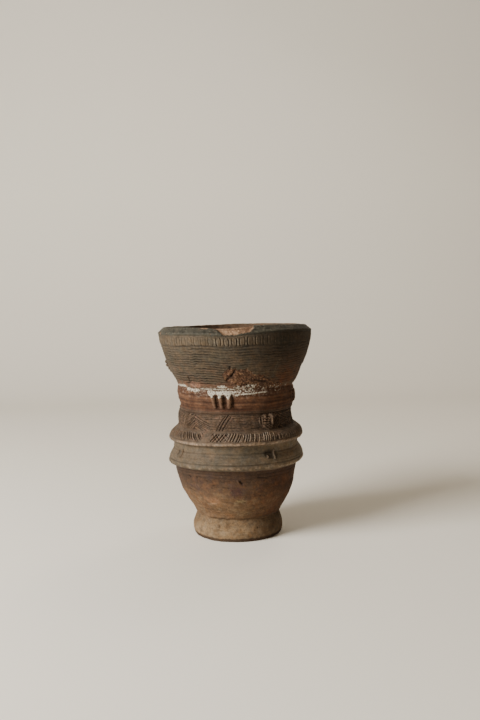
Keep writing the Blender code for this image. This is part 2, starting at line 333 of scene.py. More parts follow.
def relief(az, z):
    """Displacement of the outer surface along its normal, and its fine part, in millimetres."""
    az = wrap(az)
    q = base_point(az, z)
    ring = base_point(az, 0.0 * z)
    d = 0.50 * fbm(q, 46.0, 2, 1) + 0.30 * fbm(q, 13.0, 2, 2)
    grit = noise(q / 2.6, 5) * 0.6 + noise(q / 1.3, 6) * 0.4
    fine = np.zeros_like(d)

    head = smooth(251.0, 254.0, z)
    collar = band(z, 213.0, 252.0, 0.8)
    belt = band(z, 187.5, 213.0, 0.8)
    girdle = band(z, 124.0, 163.0, 1.0)
    belly = band(z, 36.0, 124.0, 1.0)
    foot = 1.0 - smooth(35.0, 37.0, z)
    scar = scar_mask(az, z)
    whole = 1.0 - scar

    # head: combing, weaker where the surface has worn
    worn = 0.80 + 0.5 * fbm(q, 40.0, 2, 41) + 0.30 * band(az, -70.0, 8.0, 20.0) * band(z, 258.0, 300.0, 10.0)
    worn = np.clip(worn, 0.35, 1.25) * (1.0 - 0.35 * band(az, 22.0, 110.0, 14.0))
    fine += (1.12 + 0.30 * band(az, -70.0, -8.0, 14.0)) * comb(az, z, 259.5, 324.0, 4.0, 50, wobble=0.7, half=0.21) * worn * whole * head
    fine += 0.40 * comb(az, z, 262.0, 322.0, 2.05, 57, wobble=0.8, half=0.24) * worn * whole * head
    for p0, p1, w, depth in (
        ((33.2, 271.5), (33.6, 284.0), 0.9, 0.6), ((33.6, 284.0), (34.6, 298.0), 1.2, 0.8),
        ((34.6, 298.0), (37.2, 300.0), 0.9, 0.7), ((21.5, 279.5), (28.0, 281.0), 0.7, 0.6),
        ((-30.0, 300.0), (-34.0, 287.0), 0.7, 0.4), ((118.0, 300.0), (122.0, 276.0), 0.9, 0.7),
        ((-140.0, 312.0), (-134.0, 290.0), 0.9, 0.6),
    ):
        fine -= depth * stroke(az, z, p0, p1, w) * head

    # row of crescents pressed in under the arris
    pitch = 2.78
    k = az / pitch
    cell = np.floor(k)
    f = (k - cell - 0.5) * pitch * math.radians(127.0)
    turn = np.where(cell % 2 == 0, 1.0, -1.0)
    v = (z - 329.2 - 0.7 * np.sin(cell * 23.1)) / 6.2
    bow = f - turn * (1.05 - 1.35 * v * v) - 0.35 * np.sin(cell * 41.3)
    press = np.clip(0.85 + 0.9 * noise(np.stack([cell * 3.7, cell * 0.0, cell * 0.0 + 2.0], -1), 61), 0.25, 1.2)
    press = press * (0.72 + 0.42 * band(az, -16.0, 22.0, 5.0) - 0.45 * band(az, 24.0, 75.0, 6.0))
    ends = 1.0 - smooth(0.72, 1.05, np.abs(v))
    fine += (-1.45 * np.exp(-((bow / 0.80) ** 2)) + 0.55 * np.exp(-(((np.abs(bow) - 1.65) / 0.65) ** 2))) * ends * press
    fine -= 0.5 * hump(z, 337.6, 0.8) * (0.6 + 0.5 * noise(ring / 14.0, 62)) + 0.35 * hump(z, 323.4, 0.7)

    # broken clay low on the head
    rough = noise(q / 3.4, 71) * 0.8 + noise(q / 1.8, 72) * 0.75 + noise(q / 1.0, 73) * 0.45
    d = d + scar * head * (-1.2 + 0.5 * noise(q / 8.0, 70))
    fine += scar * head * 0.78 * rough
    for p0, p1, w, depth in (
        ((-0.3, 284.5), (-2.6, 276.5), 1.2, 2.2), ((-2.6, 276.5), (-7.4, 269.5), 1.5, 2.0),
        ((-3.9, 291.2), (-3.9, 288.2), 1.3, 1.9), ((-45.2, 272.0), (-46.4, 263.6), 1.2, 1.8),
        ((16.0, 268.0), (27.0, 264.5), 1.0, 1.4), ((6.0, 262.0), (15.0, 258.0), 1.2, 1.4),
        ((25.0, 274.0), (32.0, 266.0), 0.9, 0.9), ((36.0, 262.0), (48.0, 258.0), 1.0, 0.8),
    ):
        fine -= depth * stroke(az, z, p0, p1, w) * head
    flake = smooth(0.0, 0.25, spot(az, z, -41.0, 260.5, 8.5, 5.5) + 0.25 * noise(q / 3.0, 75))
    d = d - 0.8 * flake * head
    fine += flake * head * 0.35 * rough
    # pitting along the foot of the head
    fine -= 0.8 * smooth(0.35, 0.8, noise(q / 2.4, 76)) * band(z, 252.0, 264.0, 4.0)
    d = d - 1.0 * hump(z, 252.2, 1.5)

    # collar: grooves left by the fingers
    drift = 0.8 * noise(ring / 30.0, 80)
    for z0, w, depth in ((242.6, 1.3, 0.40), (237.0, 0.8, 0.20), (231.8, 1.6, 0.70), (226.2, 0.9, 0.30), (221.0, 1.4, 0.60), (217.0, 0.8, 0.30)):
        fine -= depth * hump(z, z0 + drift, w) * collar * (0.85 + 0.35 * noise(ring / 9.0, 81 + int(z0)))
    fine += (0.30 * hump(z, 238.8 + drift, 1.8) + 0.22 * hump(z, 228.4 + drift, 1.2)) * collar
    fine += 0.16 * comb(az, z, 214.0, 250.0, 1.8, 84, wobble=1.1, half=0.28) * collar
    # ledges the strips hang from, and hollows pressed in beside them
    for quarter, g0 in enumerate((-13.4, 76.0, 166.0, -104.0)):
        a = wrap(az - g0)
        much = (1.0, 0.5, 0.9, 0.45)[quarter]
        d = d + 2.0 * much * band(a, -10.0, 10.5, 1.8) * hump(z, 246.4, 3.0) * (0.8 + 0.35 * noise(q / 3.5, 82))
        for off in (-3.7, 3.7, 10.6):
            fine -= 0.85 * much * hump(a, off, 1.1 + 0.2 * (off > 9)) * band(z, 226.0, 243.0, 3.0)
    # joint between collar and belt
    d = d - 1.35 * hump(z, 212.9 + 0.5 * drift, 1.0)
    d = d + 0.45 * hump(z, 215.6 + 0.5 * drift, 1.4)
    fine -= 0.5 * hump(z, 212.9 + 0.5 * drift, 1.2)

    # belt: combed lines, nested chevrons and slanting cuts, four times round
    a4 = az - 12.0
    sector = np.floor((a4 + 45.0) / 90.0)
    a = a4 - sector * 90.0 + 12.0                       # -33 to 57 in every quarter
    b = np.where(a > 30.0, a - 90.0, a)                 # -60 to 30, for the marks left of centre
    lines = comb(az, z, 187.5, 212.0, 2.75, 90, wobble=0.38, half=0.24) + 0.35 * comb(az, z, 188.0, 212.0, 1.35, 95, wobble=0.9, half=0.28)
    slash = np.zeros_like(d)
    for p0, p1, w, depth in (
        ((-9.0, 210.5), (-18.6, 187.0), 0.85, 1.7), ((-6.2, 211.5), (-16.0, 186.0), 0.9, 2.1),
        ((-3.6, 208.5), (-12.4, 188.0), 0.8, 1.9), ((-12.6, 209.0), (-21.4, 189.0), 0.55, 0.7),
        ((-1.0, 206.0), (-8.6, 190.0), 0.5, 0.5),
    ):
        slash = slash - depth * stroke(b, z, p0, p1, w)
    chevron = np.zeros_like(d)
    for n in range(7):
        top = 210.0 - 3.4 * n + 0.5 * math.sin(5.1 * n)
        for az1, dz, w in ((-24.0 - 1.2 * math.sin(3.3 * n), -12.5, 0.62), (-53.0, -15.0 - math.sin(2.2 * n), 0.66)):
            chevron = chevron - (1.3 + 0.35 * math.sin(7.7 * n)) * stroke(b, z, (-42.0 + math.sin(4.0 * n), top), (az1, top + dz), w)
    chevron = chevron * band(z, 187.0, 211.5, 0.8)
    in_chevron = band(b, -53.5, -24.5, 2.0) * (1.0 - smooth(0.0, 3.0, z - 210.5 + 0.6 * np.abs(b + 42.0)))
    ribs = np.zeros_like(d)
    for p0, p1, w in (
        ((-54.5, 213.0), (-58.0, 192.0), 1.1), ((-59.0, 212.0), (-61.5, 193.0), 1.0), ((-57.0, 207.0), (-53.5, 196.0), 0.9),
        ((-47.0, 212.5), (-55.5, 204.0), 0.8),
    ):
        ribs = ribs + 1.2 * stroke(np.where(a > 26.0, a - 90.0, a), z, p0, p1, w)
    plain = np.clip(1.0 + slash * 1.6 - 0.9 * in_chevron, 0.0, 1.0)
    fine += belt * (1.10 * lines * plain + 1.1 * slash + chevron * in_chevron + ribs * 1.0)
    fine += belt * (0.30 * noise(q / 2.0, 92) + 0.20 * noise(q / 1.2, 93))

    # upper cordon: stamped shoulder
    fine += stamps(az, z, -60.0, -31.0, 2.7, -0.75, 2.1, 0.95, 171.2, 184.8, 1.0)
    fine += stamps(az, z, -22.0, -8.0, 3.0, 0.40, 2.1, 1.0, 170.8, 185.6, 2.0)
    fine += stamps(az, z, -22.0, -7.0, 4.2, -0.60, 1.5, 0.8, 172.0, 184.0, 3.0)
    fine += stamps(az, z, -8.0, 5.5, 2.5, 0.24, 2.0, 0.85, 170.8, 185.0, 2.5)
    fine += stamps(az, z, 5.5, 36.0, 2.0, 0.14, 2.0, 0.74, 170.6, 184.0, 4.0)
    fine += stamps(az, z, 36.0, 64.0, 1.7, 0.10, 1.5, 0.68, 171.2, 180.6, 5.0)
    fine += stamps(az, z, 64.0, 112.0, 2.6, 0.30, 1.4, 0.8, 171.5, 184.0, 6.0)
    fine += stamps(az, z, 112.0, 165.0, 2.0, -0.40, 1.4, 0.65, 172.0, 184.0, 7.0)
    fine += stamps(az, z, 165.0, 179.9, 3.0, 0.36, 1.9, 0.95, 171.5, 185.0, 8.0)
    fine += stamps(az, z, -179.9, -130.0, 3.0, 0.36, 1.9, 0.95, 171.5, 185.0, 9.0)
    fine += stamps(az, z, -130.0, -92.0, 2.0, -0.45, 1.4, 0.7, 172.0, 184.0, 10.0)
    fine += stamps(az, z, -92.0, -60.0, 2.7, -0.65, 1.6, 0.9, 172.0, 184.0, 11.0)
    fine -= 0.65 * (hump(z, 187.0, 0.7) + 0.8 * hump(z, 184.8, 0.5)) * (0.5 + 0.5 * smooth(-24.0, 0.0, az))
    lumps = noise(q / 5.5, 104) * 0.55 + noise(q / 2.6, 105) * 0.35
    d = d + lumps * (hump(z, 167.0, 3.0) + 0.5 * hump(z, 177.0, 5.0))
    fine -= 0.45 * hump(z, 171.2 + 0.5 * noise(ring / 12.0, 106), 0.7)

    # lower cordon: smoothed face with drawn lines, and a lumpy lip under it
    drift = 0.9 * noise(ring / 26.0, 111)
    broken = np.clip(0.7 + 0.8 * noise(ring / 15.0, 112), 0.0, 1.2)
    fine -= 0.50 * hump(z, 150.6 + drift, 1.0) + 0.26 * hump(z, 146.4 + drift, 0.8) * broken + 0.22 * hump(z, 142.0 + drift, 0.8) * (1.2 - broken)
    fine -= 0.24 * hump(z, 138.0 + drift, 0.6) * broken
    fine -= 0.80 * hump(z, 134.2 + 0.6 * drift, 1.1) * broken
    d = d + (0.45 + 0.5 * lumps) * hump(z, 129.4 + 0.4 * drift, 2.2) + 0.35 * hump(z, 136.6 + 0.6 * drift, 1.2)
    fine += girdle * 0.16 * comb(az, z, 125.0, 163.0, 1.7, 115, wobble=1.2, half=0.3)
    for g0, much in ((31.3, 1.0), (121.3, 0.8), (-148.7, 0.8), (-58.7, 0.25)):
        hollow = much * smooth(0.0, 0.5, spot(az, z, g0 + 1.5, 149.0, 8.5, 8.5))
        d = d - 1.3 * hollow
        fine -= 0.35 * hollow

    # belly: scraping marks, facets, pits and folds
    fine += belly * 0.20 * comb(az, z, 38.0, 122.0, 2.6, 120, wobble=1.6, half=0.3)
    d = d + belly * 0.38 * fbm(q, 20.0, 2, 121, stretch=(1.6, 1.6, 0.6))
    fine -= belly * 0.40 * hump(z, 116.5 + 1.4 * drift, 0.9) + belly * 0.3 * hump(z, 111.0 + 2.0 * drift, 0.8)
    for p0, p1, w, depth in (
        ((4.2, 106.0), (5.8, 102.6), 1.5, 1.7), ((1.6, 108.5), (3.0, 103.5), 1.0, -0.9),
        ((-14.0, 70.0), (-4.0, 67.5), 0.9, 0.5), ((14.0, 62.0), (27.0, 64.0), 0.8, 0.45),
        ((-52.0, 88.0), (-44.0, 84.0), 1.0, 0.6), ((20.0, 112.0), (31.0, 109.5), 0.8, 0.6),
        ((-47.6, 111.0), (-47.0, 109.0), 1.3, 1.6), ((-34.2, 64.2), (-23.0, 66.2), 0.8, -0.45),
        ((-40.0, 54.0), (-25.0, 51.5), 0.7, 0.6), ((-33.0, 50.0), (-22.0, 48.0), 0.7, 0.5),
        ((-12.0, 96.0), (-6.0, 95.0), 0.9, 0.6), ((-22.0, 99.0), (-15.0, 98.0), 0.8, 0.5),
        ((62.0, 92.0), (74.0, 95.0), 0.8, 0.7), ((112.0, 76.0), (120.0, 71.0), 1.2, 1.1),
        ((160.0, 101.0), (163.0, 97.0), 1.4, 1.8), ((-150.0, 86.0), (-143.0, 83.0), 1.1, 1.0),
        ((-112.0, 64.0), (-100.0, 62.0), 0.9, 0.7), ((-92.0, 97.0), (-88.0, 93.0), 1.2, 1.2),
    ):
        fine -= depth * stroke(az, z, p0, p1, w)
    for a0, z0, w, depth in (
        (-38.0, 109.5, 1.3, 1.2), (8.0, 69.5, 1.8, 0.5), (24.0, 80.0, 1.3, 0.9), (-20.0, 58.0, 1.6, 0.6),
        (70.0, 78.0, 1.8, 1.2), (-62.0, 149.0, 1.6, 1.5), (-57.0, 143.0, 1.2, 1.0), (-6.0, 31.0, 1.1, 0.7),
        (26.0, 22.0, 1.3, 1.0), (-24.0, 25.0, 1.4, 0.8),
    ):
        fine -= depth * np.exp(-((np.hypot(wrap(az - a0) * 1.7, z - z0) / w) ** 2))
    fine -= 0.6 * smooth(0.55, 0.90, noise(q / 2.4, 131)) * (belly * (0.6 + 0.6 * smooth(80.0, 108.0, z)) + 0.4 * foot + 0.5 * girdle + 0.5 * collar)

    # neck crease, smeared by the thumb, almost gone on the left
    cw = 1.3 * noise(ring / 8.0, 141) + 1.3 * noise(ring / 22.0, 142)
    open_ = 1.0 - 0.75 * band(az, -105.0, -42.0, 6.0)
    fine -= 0.65 * hump(z, 36.4 + cw, 0.9) * open_ * (0.75 + 0.5 * noise(ring / 12.0, 143))
    d = d + 0.9 * hump(z, 39.6 + cw, 1.9) * open_ - 0.5 * hump(z, 34.6 + cw, 1.6) * open_
    # foot: tooled smooth, lightly faceted
    fine += foot * (0.07 * noise(q / 3.0, 151) + 0.03 * noise(q / 1.5, 152))
    d = d + foot * 0.35 * fbm(q, 18.0, 2, 153)
    fine += foot * 0.16 * comb(az, z, 3.0, 34.0, 3.4, 155, wobble=1.6, half=0.3)

    # general grain
    amount = 0.14 * head + 0.10 * collar + 0.14 * belt + 0.10 * girdle + 0.09 * belly + 0.05 * foot + 0.14 * band(z, 164.0, 188.0, 1.0)
    fine += amount * grit
    crust = crust_mask(az, z)
    fine += crust * (0.55 + 0.35 * noise(q / 1.5, 161))
    return d + fine, fine


def relief_in(az, z):
    q = base_point(az, z, r_in(z))
    ridge = 0.35 * np.sin(z / 2.1 + 1.3 * noise(q / 30.0, 170) * 2.0)
    return 0.6 * fbm(q, 30.0, 3, 171) + ridge * 0.5 + 0.12 * noise(q / 2.4, 172)


# ------------------------------------------------------------------ colour of the clay
def rgb(r, g, b):
    return np.array([r, g, b])


RIM = rgb(0.074, 0.068, 0.050)
RIM_WORN = rgb(0.175, 0.160, 0.122)
HEAD = rgb(0.124, 0.092, 0.060)
HEAD_DARK = rgb(0.058, 0.043, 0.027)
RED = rgb(0.112, 0.048, 0.025)
RED_LIGHT = rgb(0.160, 0.077, 0.041)
BELT = rgb(0.146, 0.096, 0.062)
SHOULDER = rgb(0.152, 0.106, 0.070)
LIP = rgb(0.380, 0.280, 0.196)
CORDON = rgb(0.156, 0.116, 0.075)
BELLY_TOP = rgb(0.116, 0.066, 0.038)
BELLY_LOW = rgb(0.224, 0.134, 0.072)
FOOT = rgb(0.320, 0.214, 0.120)
CRUST = rgb(0.820, 0.760, 0.630)
FRESH = rgb(0.500, 0.308, 0.184)
SCAR_C = rgb(0.125, 0.062, 0.036)
SOOT_AND_SHADE = rgb(0.026, 0.017, 0.011)
TONE = 0.55                      # overall depth of the fired colour
INSIDE = rgb(0.085, 0.056, 0.036)


def colour(az, z, fine):
    """Base colour, and how glossy the clay is, on the outer surface."""
    az = wrap(az)
    q = base_point(az, z)
    ring = base_point(az, 0.0 * z)
    big, mid, small = fbm(q, 48.0, 3, 201), fbm(q, 14.0, 3, 202), fbm(q, 4.5, 2, 203)
    tiny = noise(q / 1.4, 204)
    streak = fbm(q, 16.0, 2, 205, stretch=(1.8, 1.8, 0.22))

    zz = z + 1.6 * mid + 0.8 * small
    c = mix(BELLY_LOW, BELLY_TOP, smooth(68.0, 104.0, zz + 9.0 * big))
    # drifts of paler and redder clay over the belly
    c = mix(c, rgb(0.230, 0.108, 0.050), smooth(-0.1, 0.7, fbm(q, 22.0, 2, 206) + 0.35 * smooth(10.0, 60.0, az)) * band(z, 40.0, 108.0, 10.0) * 0.60)
    c = mix(c, rgb(0.285, 0.195, 0.112), smooth(0.1, 0.8, fbm(q, 18.0, 2, 207) + 0.3 * small) * band(z, 38.0, 84.0, 12.0) * 0.55)
    c = mix(c, rgb(0.096, 0.058, 0.046), smooth(-0.1, 0.6, fbm(q, 11.0, 3, 208) + 0.25 * streak) * band(z, 80.0, 126.0, 8.0) * 0.70)
    c = mix(c, rgb(0.215, 0.104, 0.052), smooth(0.0, 0.7, fbm(q, 8.0, 3, 213)) * band(z, 62.0, 112.0, 8.0) * 0.45)
    # painted shade under the overhang of the lower cordon
    c = mix(c, rgb(0.054, 0.031, 0.020), band(z, 107.0, 124.0, 4.0) * (0.30 + 0.25 * mid))
    cw = 1.3 * noise(ring / 8.0, 141) + 1.3 * noise(ring / 22.0, 142)
    foot_c = mix(FOOT * 1.06 + 0 * q, rgb(0.205, 0.128, 0.070), smooth(-0.2, 0.6, fbm(q, 15.0, 2, 209)) * 0.75)
    foot_c = mix(foot_c, rgb(0.165, 0.108, 0.062), smooth(17.0, 35.0, zz + 3.0 * big) * 0.60)
    edge_soft = 1.0 + 3.5 * band(az, -105.0, -42.0, 6.0)
    c = mix(c, foot_c, 1.0 - smooth(36.0 - edge_soft, 36.8 + edge_soft, z - cw))
    c = mix(c, BELLY_LOW * 0.55, 0.55 * hump(z, 38.6 + cw, 1.8) * (1.0 - 0.7 * band(az, -105.0, -42.0, 6.0)))
    c = mix(c, CORDON, smooth(122.5, 125.5, z + 0.4 * small))
    c = mix(c, SHOULDER, smooth(162.0, 166.0, zz))
    c = mix(c, BELT, smooth(184.0, 189.0, zz))
    red = mix(RED + 0 * c, RED_LIGHT, smooth(-0.5, 0.8, mid + 0.7 * streak + 0.6 * hump(z, 238.5, 2.6) + 0.4 * hump(z, 228.0, 2.0)))
    red = mix(red, RED * 0.55, smooth(0.0, 0.8, fbm(q, 20.0, 2, 211)) * 0.5)
    red = red * (1.0 - 0.12 * band(az, -52.0, -14.0, 8.0))[..., None]
    c = mix(c, red, smooth(211.5, 214.5, z + 0.6 * small))
    c = mix(c, BELT * 0.7, band(z, 210.5, 218.0, 1.4) * 0.75)
    head = mix(HEAD + 0 * c, HEAD_DARK, smooth(-0.1, 0.9, 0.6 * big + 0.5 * mid) * 0.5)
    head = mix(head, rgb(0.142, 0.088, 0.054), smooth(-0.2, 0.6, 0.5 * streak + mid) * band(z, 252.0, 300.0, 16.0) * 0.7)
    c = mix(c, head, smooth(250.0, 258.0, z + 2.0 * mid))
    low_head = band(z, 250.0, 266.0, 6.0) * smooth(-0.35, 0.4, mid + 0.35 * small)
    c = mix(c, rgb(0.165, 0.072, 0.040), low_head * 0.65)
    c = mix(c, rgb(0.180, 0.072, 0.030), smooth(0.0, 0.8, spot(az, z, 52.0, 268.0, 26.0, 22.0) + 0.5 * mid) * 0.6)
    c = mix(c, RIM, smooth(336.5, 339.5, z + 0.7 * small))

    specks = band(z, 164.0, 212.0, 3.0)
    c = mix(c, rgb(0.210, 0.110, 0.078), specks * smooth(0.15, 0.7, noise(q / 2.3, 214) + 0.4 * mid) * 0.55)
    c = mix(c, rgb(0.060, 0.040, 0.028), specks * smooth(0.15, 0.7, noise(q / 2.8, 215) - 0.3 * mid) * 0.45)
    # lips rubbed paler and partly a painted highlight along their edges, strongest on the upper cordon's lip at the
    # left front
    c = mix(c, LIP, np.clip(hump(z + 0.5 * small, 167.0, 2.4) * (0.74 + 0.6 * mid + 0.4 * small), 0, 1) * (0.66 + 0.26 * band(az, -60.0, -4.0, 12.0)))
    c = mix(c, rgb(0.345, 0.255, 0.175), np.clip(hump(z + 0.6 * small, 129.2, 2.2) * (0.25 + 0.9 * mid + 0.8 * small), 0, 1) * 0.85)
    c = mix(c, LIP * 0.8, np.clip(hump(z, 136.8, 1.2) * smooth(-0.1, 0.6, mid + 0.6 * streak), 0, 1) * 0.45)
    c = mix(c, rgb(0.165, 0.112, 0.072), smooth(-0.1, 0.7, streak + 0.5 * mid) * band(z, 126.0, 162.0, 2.0) * 0.55)
    smoke = smooth(0.0, 0.8, fbm(q, 30.0, 2, 210) + 0.2)
    c = mix(c, rgb(0.098, 0.088, 0.063), smoke * band(z, 126.0, 160.0, 4.0) * 0.45)
    c = mix(c, rgb(0.088, 0.080, 0.055), smoke * smooth(262.0, 290.0, z) * 0.40)
    # darkening with the soot colour: painted shade, with some soot, on the right quarter of the head and round the
    # shoulder on the right, away from the light; darker patches at the back and under the lower cordon
    soot_and_shade = smooth(2.0, 40.0, az) * (1.0 - smooth(110.0, 165.0, az)) * smooth(262.0, 325.0, z) * (0.70 - 0.22 * smooth(38.0, 62.0, az))
    soot_and_shade = soot_and_shade + 0.26 * smooth(20.0, 55.0, az) * (1.0 - smooth(95.0, 150.0, az)) * band(z, 166.0, 214.0, 6.0)
    soot_and_shade = soot_and_shade + 0.22 * smooth(-0.1, 0.7, big) * smooth(70.0, 120.0, np.abs(az))
    soot_and_shade = soot_and_shade + 0.22 * smooth(-0.15, 0.6, fbm(q, 36.0, 2, 212)) * band(z, 84.0, 122.0, 10.0)
    # painted shade: the right of the lower belly and the foot darker, away from the light
    soot_and_shade = soot_and_shade + 0.46 * smooth(18.0, 62.0, az) * (1.0 - smooth(110.0, 160.0, az)) * (1.0 - smooth(92.0, 112.0, z))
    soot_and_shade = np.clip(soot_and_shade * (0.85 + 0.35 * mid), 0.0, 0.85)
    c = mix(c, SOOT_AND_SHADE, soot_and_shade)
    # painted shadow colour: on the right, away from the light, the head and belly lose green and blue
    shadow_side_warmth = smooth(14.0, 50.0, az) * (1.0 - smooth(100.0, 150.0, az)) * (smooth(256.0, 262.0, z) * (1.0 - smooth(300.0, 330.0, z)) + 0.9 * band(z, 36.0, 122.0, 6.0))
    c = c * (1.0 - np.asarray(shadow_side_warmth)[..., None] * np.array([0.02, 0.17, 0.24]))
    # painted shade: the lower belly and foot darker on the right
    low_right_shade = smooth(2.0, 26.0, az) * (1.0 - smooth(100.0, 150.0, az)) * (1.0 - smooth(86.0, 100.0, z))
    c = c * (1.0 - np.asarray(low_right_shade)[..., None] * np.array([0.13, 0.15, 0.15]))
    c = c * (1.0 + 0.20 * band(az, 36.0, 110.0, 12.0) * band(z, 125.0, 162.0, 3.0))[..., None]
    c = c * (1.0 - 0.17 * band(az, -6.0, 24.0, 8.0) * band(z, 300.0, 334.0, 6.0))[..., None]
    # stains on the belly
    c = mix(c, rgb(0.078, 0.036, 0.032), smooth(-0.1, 0.5, spot(az, z, 0.5, 87.0, 7.0, 12.0) + 0.5 * small + 0.3 * mid) * 0.72)
    c = mix(c, rgb(0.085, 0.052, 0.036), smooth(0.1, 0.7, spot(az, z, 10.0, 82.0, 8.0, 15.0) + 0.6 * mid + 0.3 * small) * 0.66)
    c = mix(c, rgb(0.330, 0.240, 0.115), smooth(0.0, 0.6, spot(az, z, 3.5, 71.5, 6.5, 4.2) + 0.5 * small) * 0.6)
    c = mix(c, rgb(0.360, 0.185, 0.095), smooth(0.0, 0.7, spot(az, z, -28.0, 72.0, 11.0, 9.0) + 0.5 * mid) * 0.6)
    c = mix(c, rgb(0.400, 0.270, 0.170), 0.40 * stroke(az, z, (-34.2, 64.0), (-23.0, 66.0), 1.5))
    # painted shadow: dark patches beside the strips on the lower cordon
    for g0, much in ((31.3, 0.34), (121.3, 0.34), (-148.7, 0.34), (-58.7, 0.06)):
        c = mix(c, rgb(0.060, 0.036, 0.024), smooth(0.0, 0.7, spot(az, z, g0 - 0.5, 150.0, 9.0, 9.5) + 0.3 * small) * much)

    scar = scar_mask(az, z) * smooth(250.0, 253.0, z)
    scar_c = mix(SCAR_C * 1.15 + 0 * c, rgb(0.265, 0.160, 0.084), smooth(0.1, 0.8, 0.8 * tiny + 0.6 * small))
    scar_c = mix(scar_c, rgb(0.046, 0.022, 0.015), smooth(0.05, 0.65, -tiny - 0.4 * small) * 0.65)
    c = mix(c, scar_c, scar * 0.92)
    flake = smooth(0.0, 0.3, spot(az, z, -41.0, 260.5, 8.5, 5.5) + 0.25 * noise(q / 3.0, 75))
    c = mix(c, rgb(0.290, 0.150, 0.098), flake * 0.75)
    scratch = np.maximum.reduce([
        stroke(az, z, (33.2, 271.5), (33.6, 284.0), 1.0), stroke(az, z, (33.6, 284.0), (34.6, 298.0), 1.3),
        stroke(az, z, (34.6, 298.0), (37.2, 300.0), 1.1), 0.8 * stroke(az, z, (21.5, 279.5), (28.0, 281.0), 0.8),
    ])
    c = mix(c, rgb(0.300, 0.225, 0.150), 0.75 * scratch)

    # lighter on the right of the lower cordon and shoulder, darker on the left of the shoulder, belt and upper belly,
    # lighter on the front of the belt
    c = c * (1.0 + 0.42 * band(az, 22.0, 100.0, 12.0) * band(z, 125.0, 186.0, 3.0))[..., None]
    c = c * (1.0 - 0.18 * band(az, -110.0, -38.0, 12.0) * (band(z, 164.0, 213.0, 6.0) + band(z, 84.0, 122.0, 8.0)))[..., None]
    c = c * (1.0 + 0.14 * band(az, -36.0, -4.0, 10.0) * band(z, 186.0, 212.0, 2.0))[..., None]
    # pale dust on the raised edges of the stamping
    raised = smooth(0.10, 0.55, fine)
    c = mix(c, rgb(0.400, 0.320, 0.235), raised * band(z, 170.5, 184.0, 1.5) * (0.52 * band(az, 4.0, 36.0, 4.0) + 0.30 * band(az, -9.0, 4.0, 3.0) + 0.34 * band(az, 36.0, 62.0, 4.0)))
    c = mix(c, rgb(0.250, 0.200, 0.142), raised * band(z, 322.0, 337.0, 1.5) * (0.10 + 0.24 * band(az, -22.0, 30.0, 6.0)))
    # ridges rubbed paler, and painted shade in the hollows, partly dirt
    c = c * np.exp(np.clip(fine * 0.80, -1.5, 0.42))[..., None]
    c = c * np.clip(1.0 + 0.22 * mid + 0.26 * small + 0.24 * tiny + 0.13 * streak, 0.45, 1.7)[..., None]
    hue = 0.09 * fbm(q, 9.0, 2, 220) + 0.05 * noise(q / 2.2, 221)
    c = c * np.stack([1.0 + hue, 1.0 + 0.0 * hue, 1.0 - 1.4 * hue], axis=-1)
    c = mix(c, rgb(0.36, 0.29, 0.20), smooth(0.66, 0.92, noise(q / 1.25, 230)) * 0.40 * (1.0 - smooth(334.0, 338.0, z)))
    c = mix(c, SOOT_AND_SHADE, smooth(0.68, 0.95, noise(q / 1.6, 231)) * 0.5)
    # darker band along the bottom edge of the foot
    c = mix(c, rgb(0.062, 0.036, 0.021), (1.0 - smooth(4.9, 7.0, z + 0.9 * small + 0.6 * mid)) * 0.88)

    crust = crust_mask(az, z)
    crust_c = CRUST * (0.88 + 0.20 * tiny + 0.12 * small)[..., None]
    c = mix(c, crust_c, crust * 0.95)
    dust = 0.24 * band(z, 241.0, 258.0, 5.0) * band(az, -72.0, 40.0, 14.0) * smooth(0.0, 0.8, small + 0.6 * tiny)
    c = mix(c, CRUST, dust)
    gloss = 0.30 * smooth(336.0, 340.0, z) + 0.16 * band(z, 124.0, 162.0, 3.0) + 0.08 * smooth(256.0, 262.0, z)
    gloss = gloss * (1.0 - scar) * (1.0 - crust)
    return np.clip(c, 0.004, 0.9), gloss


def colour_in(az, z):
    q = base_point(az, z, r_in(z))
    mid, small = fbm(q, 20.0, 3, 240), fbm(q, 4.0, 2, 241)
    c = mix(INSIDE + 0 * q, rgb(0.155, 0.098, 0.060), smooth(-0.2, 0.7, mid))
    c = mix(c, rgb(0.230, 0.150, 0.095), smooth(330.0, 343.0, z + 3.0 * mid) * 0.8)
    c = c * (1.0 + 0.16 * small + 0.10 * noise(q / 1.4, 242))[..., None]
    return np.clip(c, 0.004, 0.9)


# ------------------------------------------------------------------ meshes
COLUMNS = 720
AZ = np.linspace(-180.0, 180.0, COLUMNS, endpoint=False)


def store(mesh, col, aux):
    for name, data in (("Col", col), ("Aux", aux)):
        attr = mesh.attributes.new(name, "FLOAT_COLOR", "POINT")
        rgba = np.ones((len(mesh.vertices), 4), dtype=np.float32)
        rgba[:, : data.shape[-1]] = data.reshape(-1, data.shape[-1]) * (TONE if name == "Col" else 1.0)
        attr.data.foreach_set("color", rgba.ravel())


def mesh_from(name, verts, quads, uvs=None):
    mesh = bpy.data.meshes.new(name)
    mesh.vertices.add(len(verts))
    mesh.vertices.foreach_set("co", (verts * 0.001).astype(np.float32).ravel())
    mesh.loops.add(quads.size)
    mesh.loops.foreach_set("vertex_index", quads.astype(np.int32).ravel())
    mesh.polygons.add(len(quads))
    mesh.polygons.foreach_set("loop_start", np.arange(0, quads.size, 4, dtype=np.int32))
    if uvs is not None:
        layer = mesh.uv_layers.new(name="OFBake")
        layer.data.foreach_set("uv", uvs.astype(np.float32).ravel())
    mesh.update(calc_edges=True)
    mesh.validate()
    mesh.shade_smooth()
    return mesh


def sharpen(mesh, row_of, rows):
    """Marks the edges that run along the given rows as sharp."""
    edges = np.empty(len(mesh.edges) * 2, dtype=np.int32)
    mesh.edges.foreach_get("vertices", edges)
    edges = edges.reshape(-1, 2)
    a, b = row_of[edges[:, 0]], row_of[edges[:, 1]]
    sharp = (a == b) & np.isin(a, rows)
    attr = mesh.attributes.get("sharp_edge") or mesh.attributes.new("sharp_edge", "BOOLEAN", "EDGE")
    attr.data.foreach_set("value", sharp)


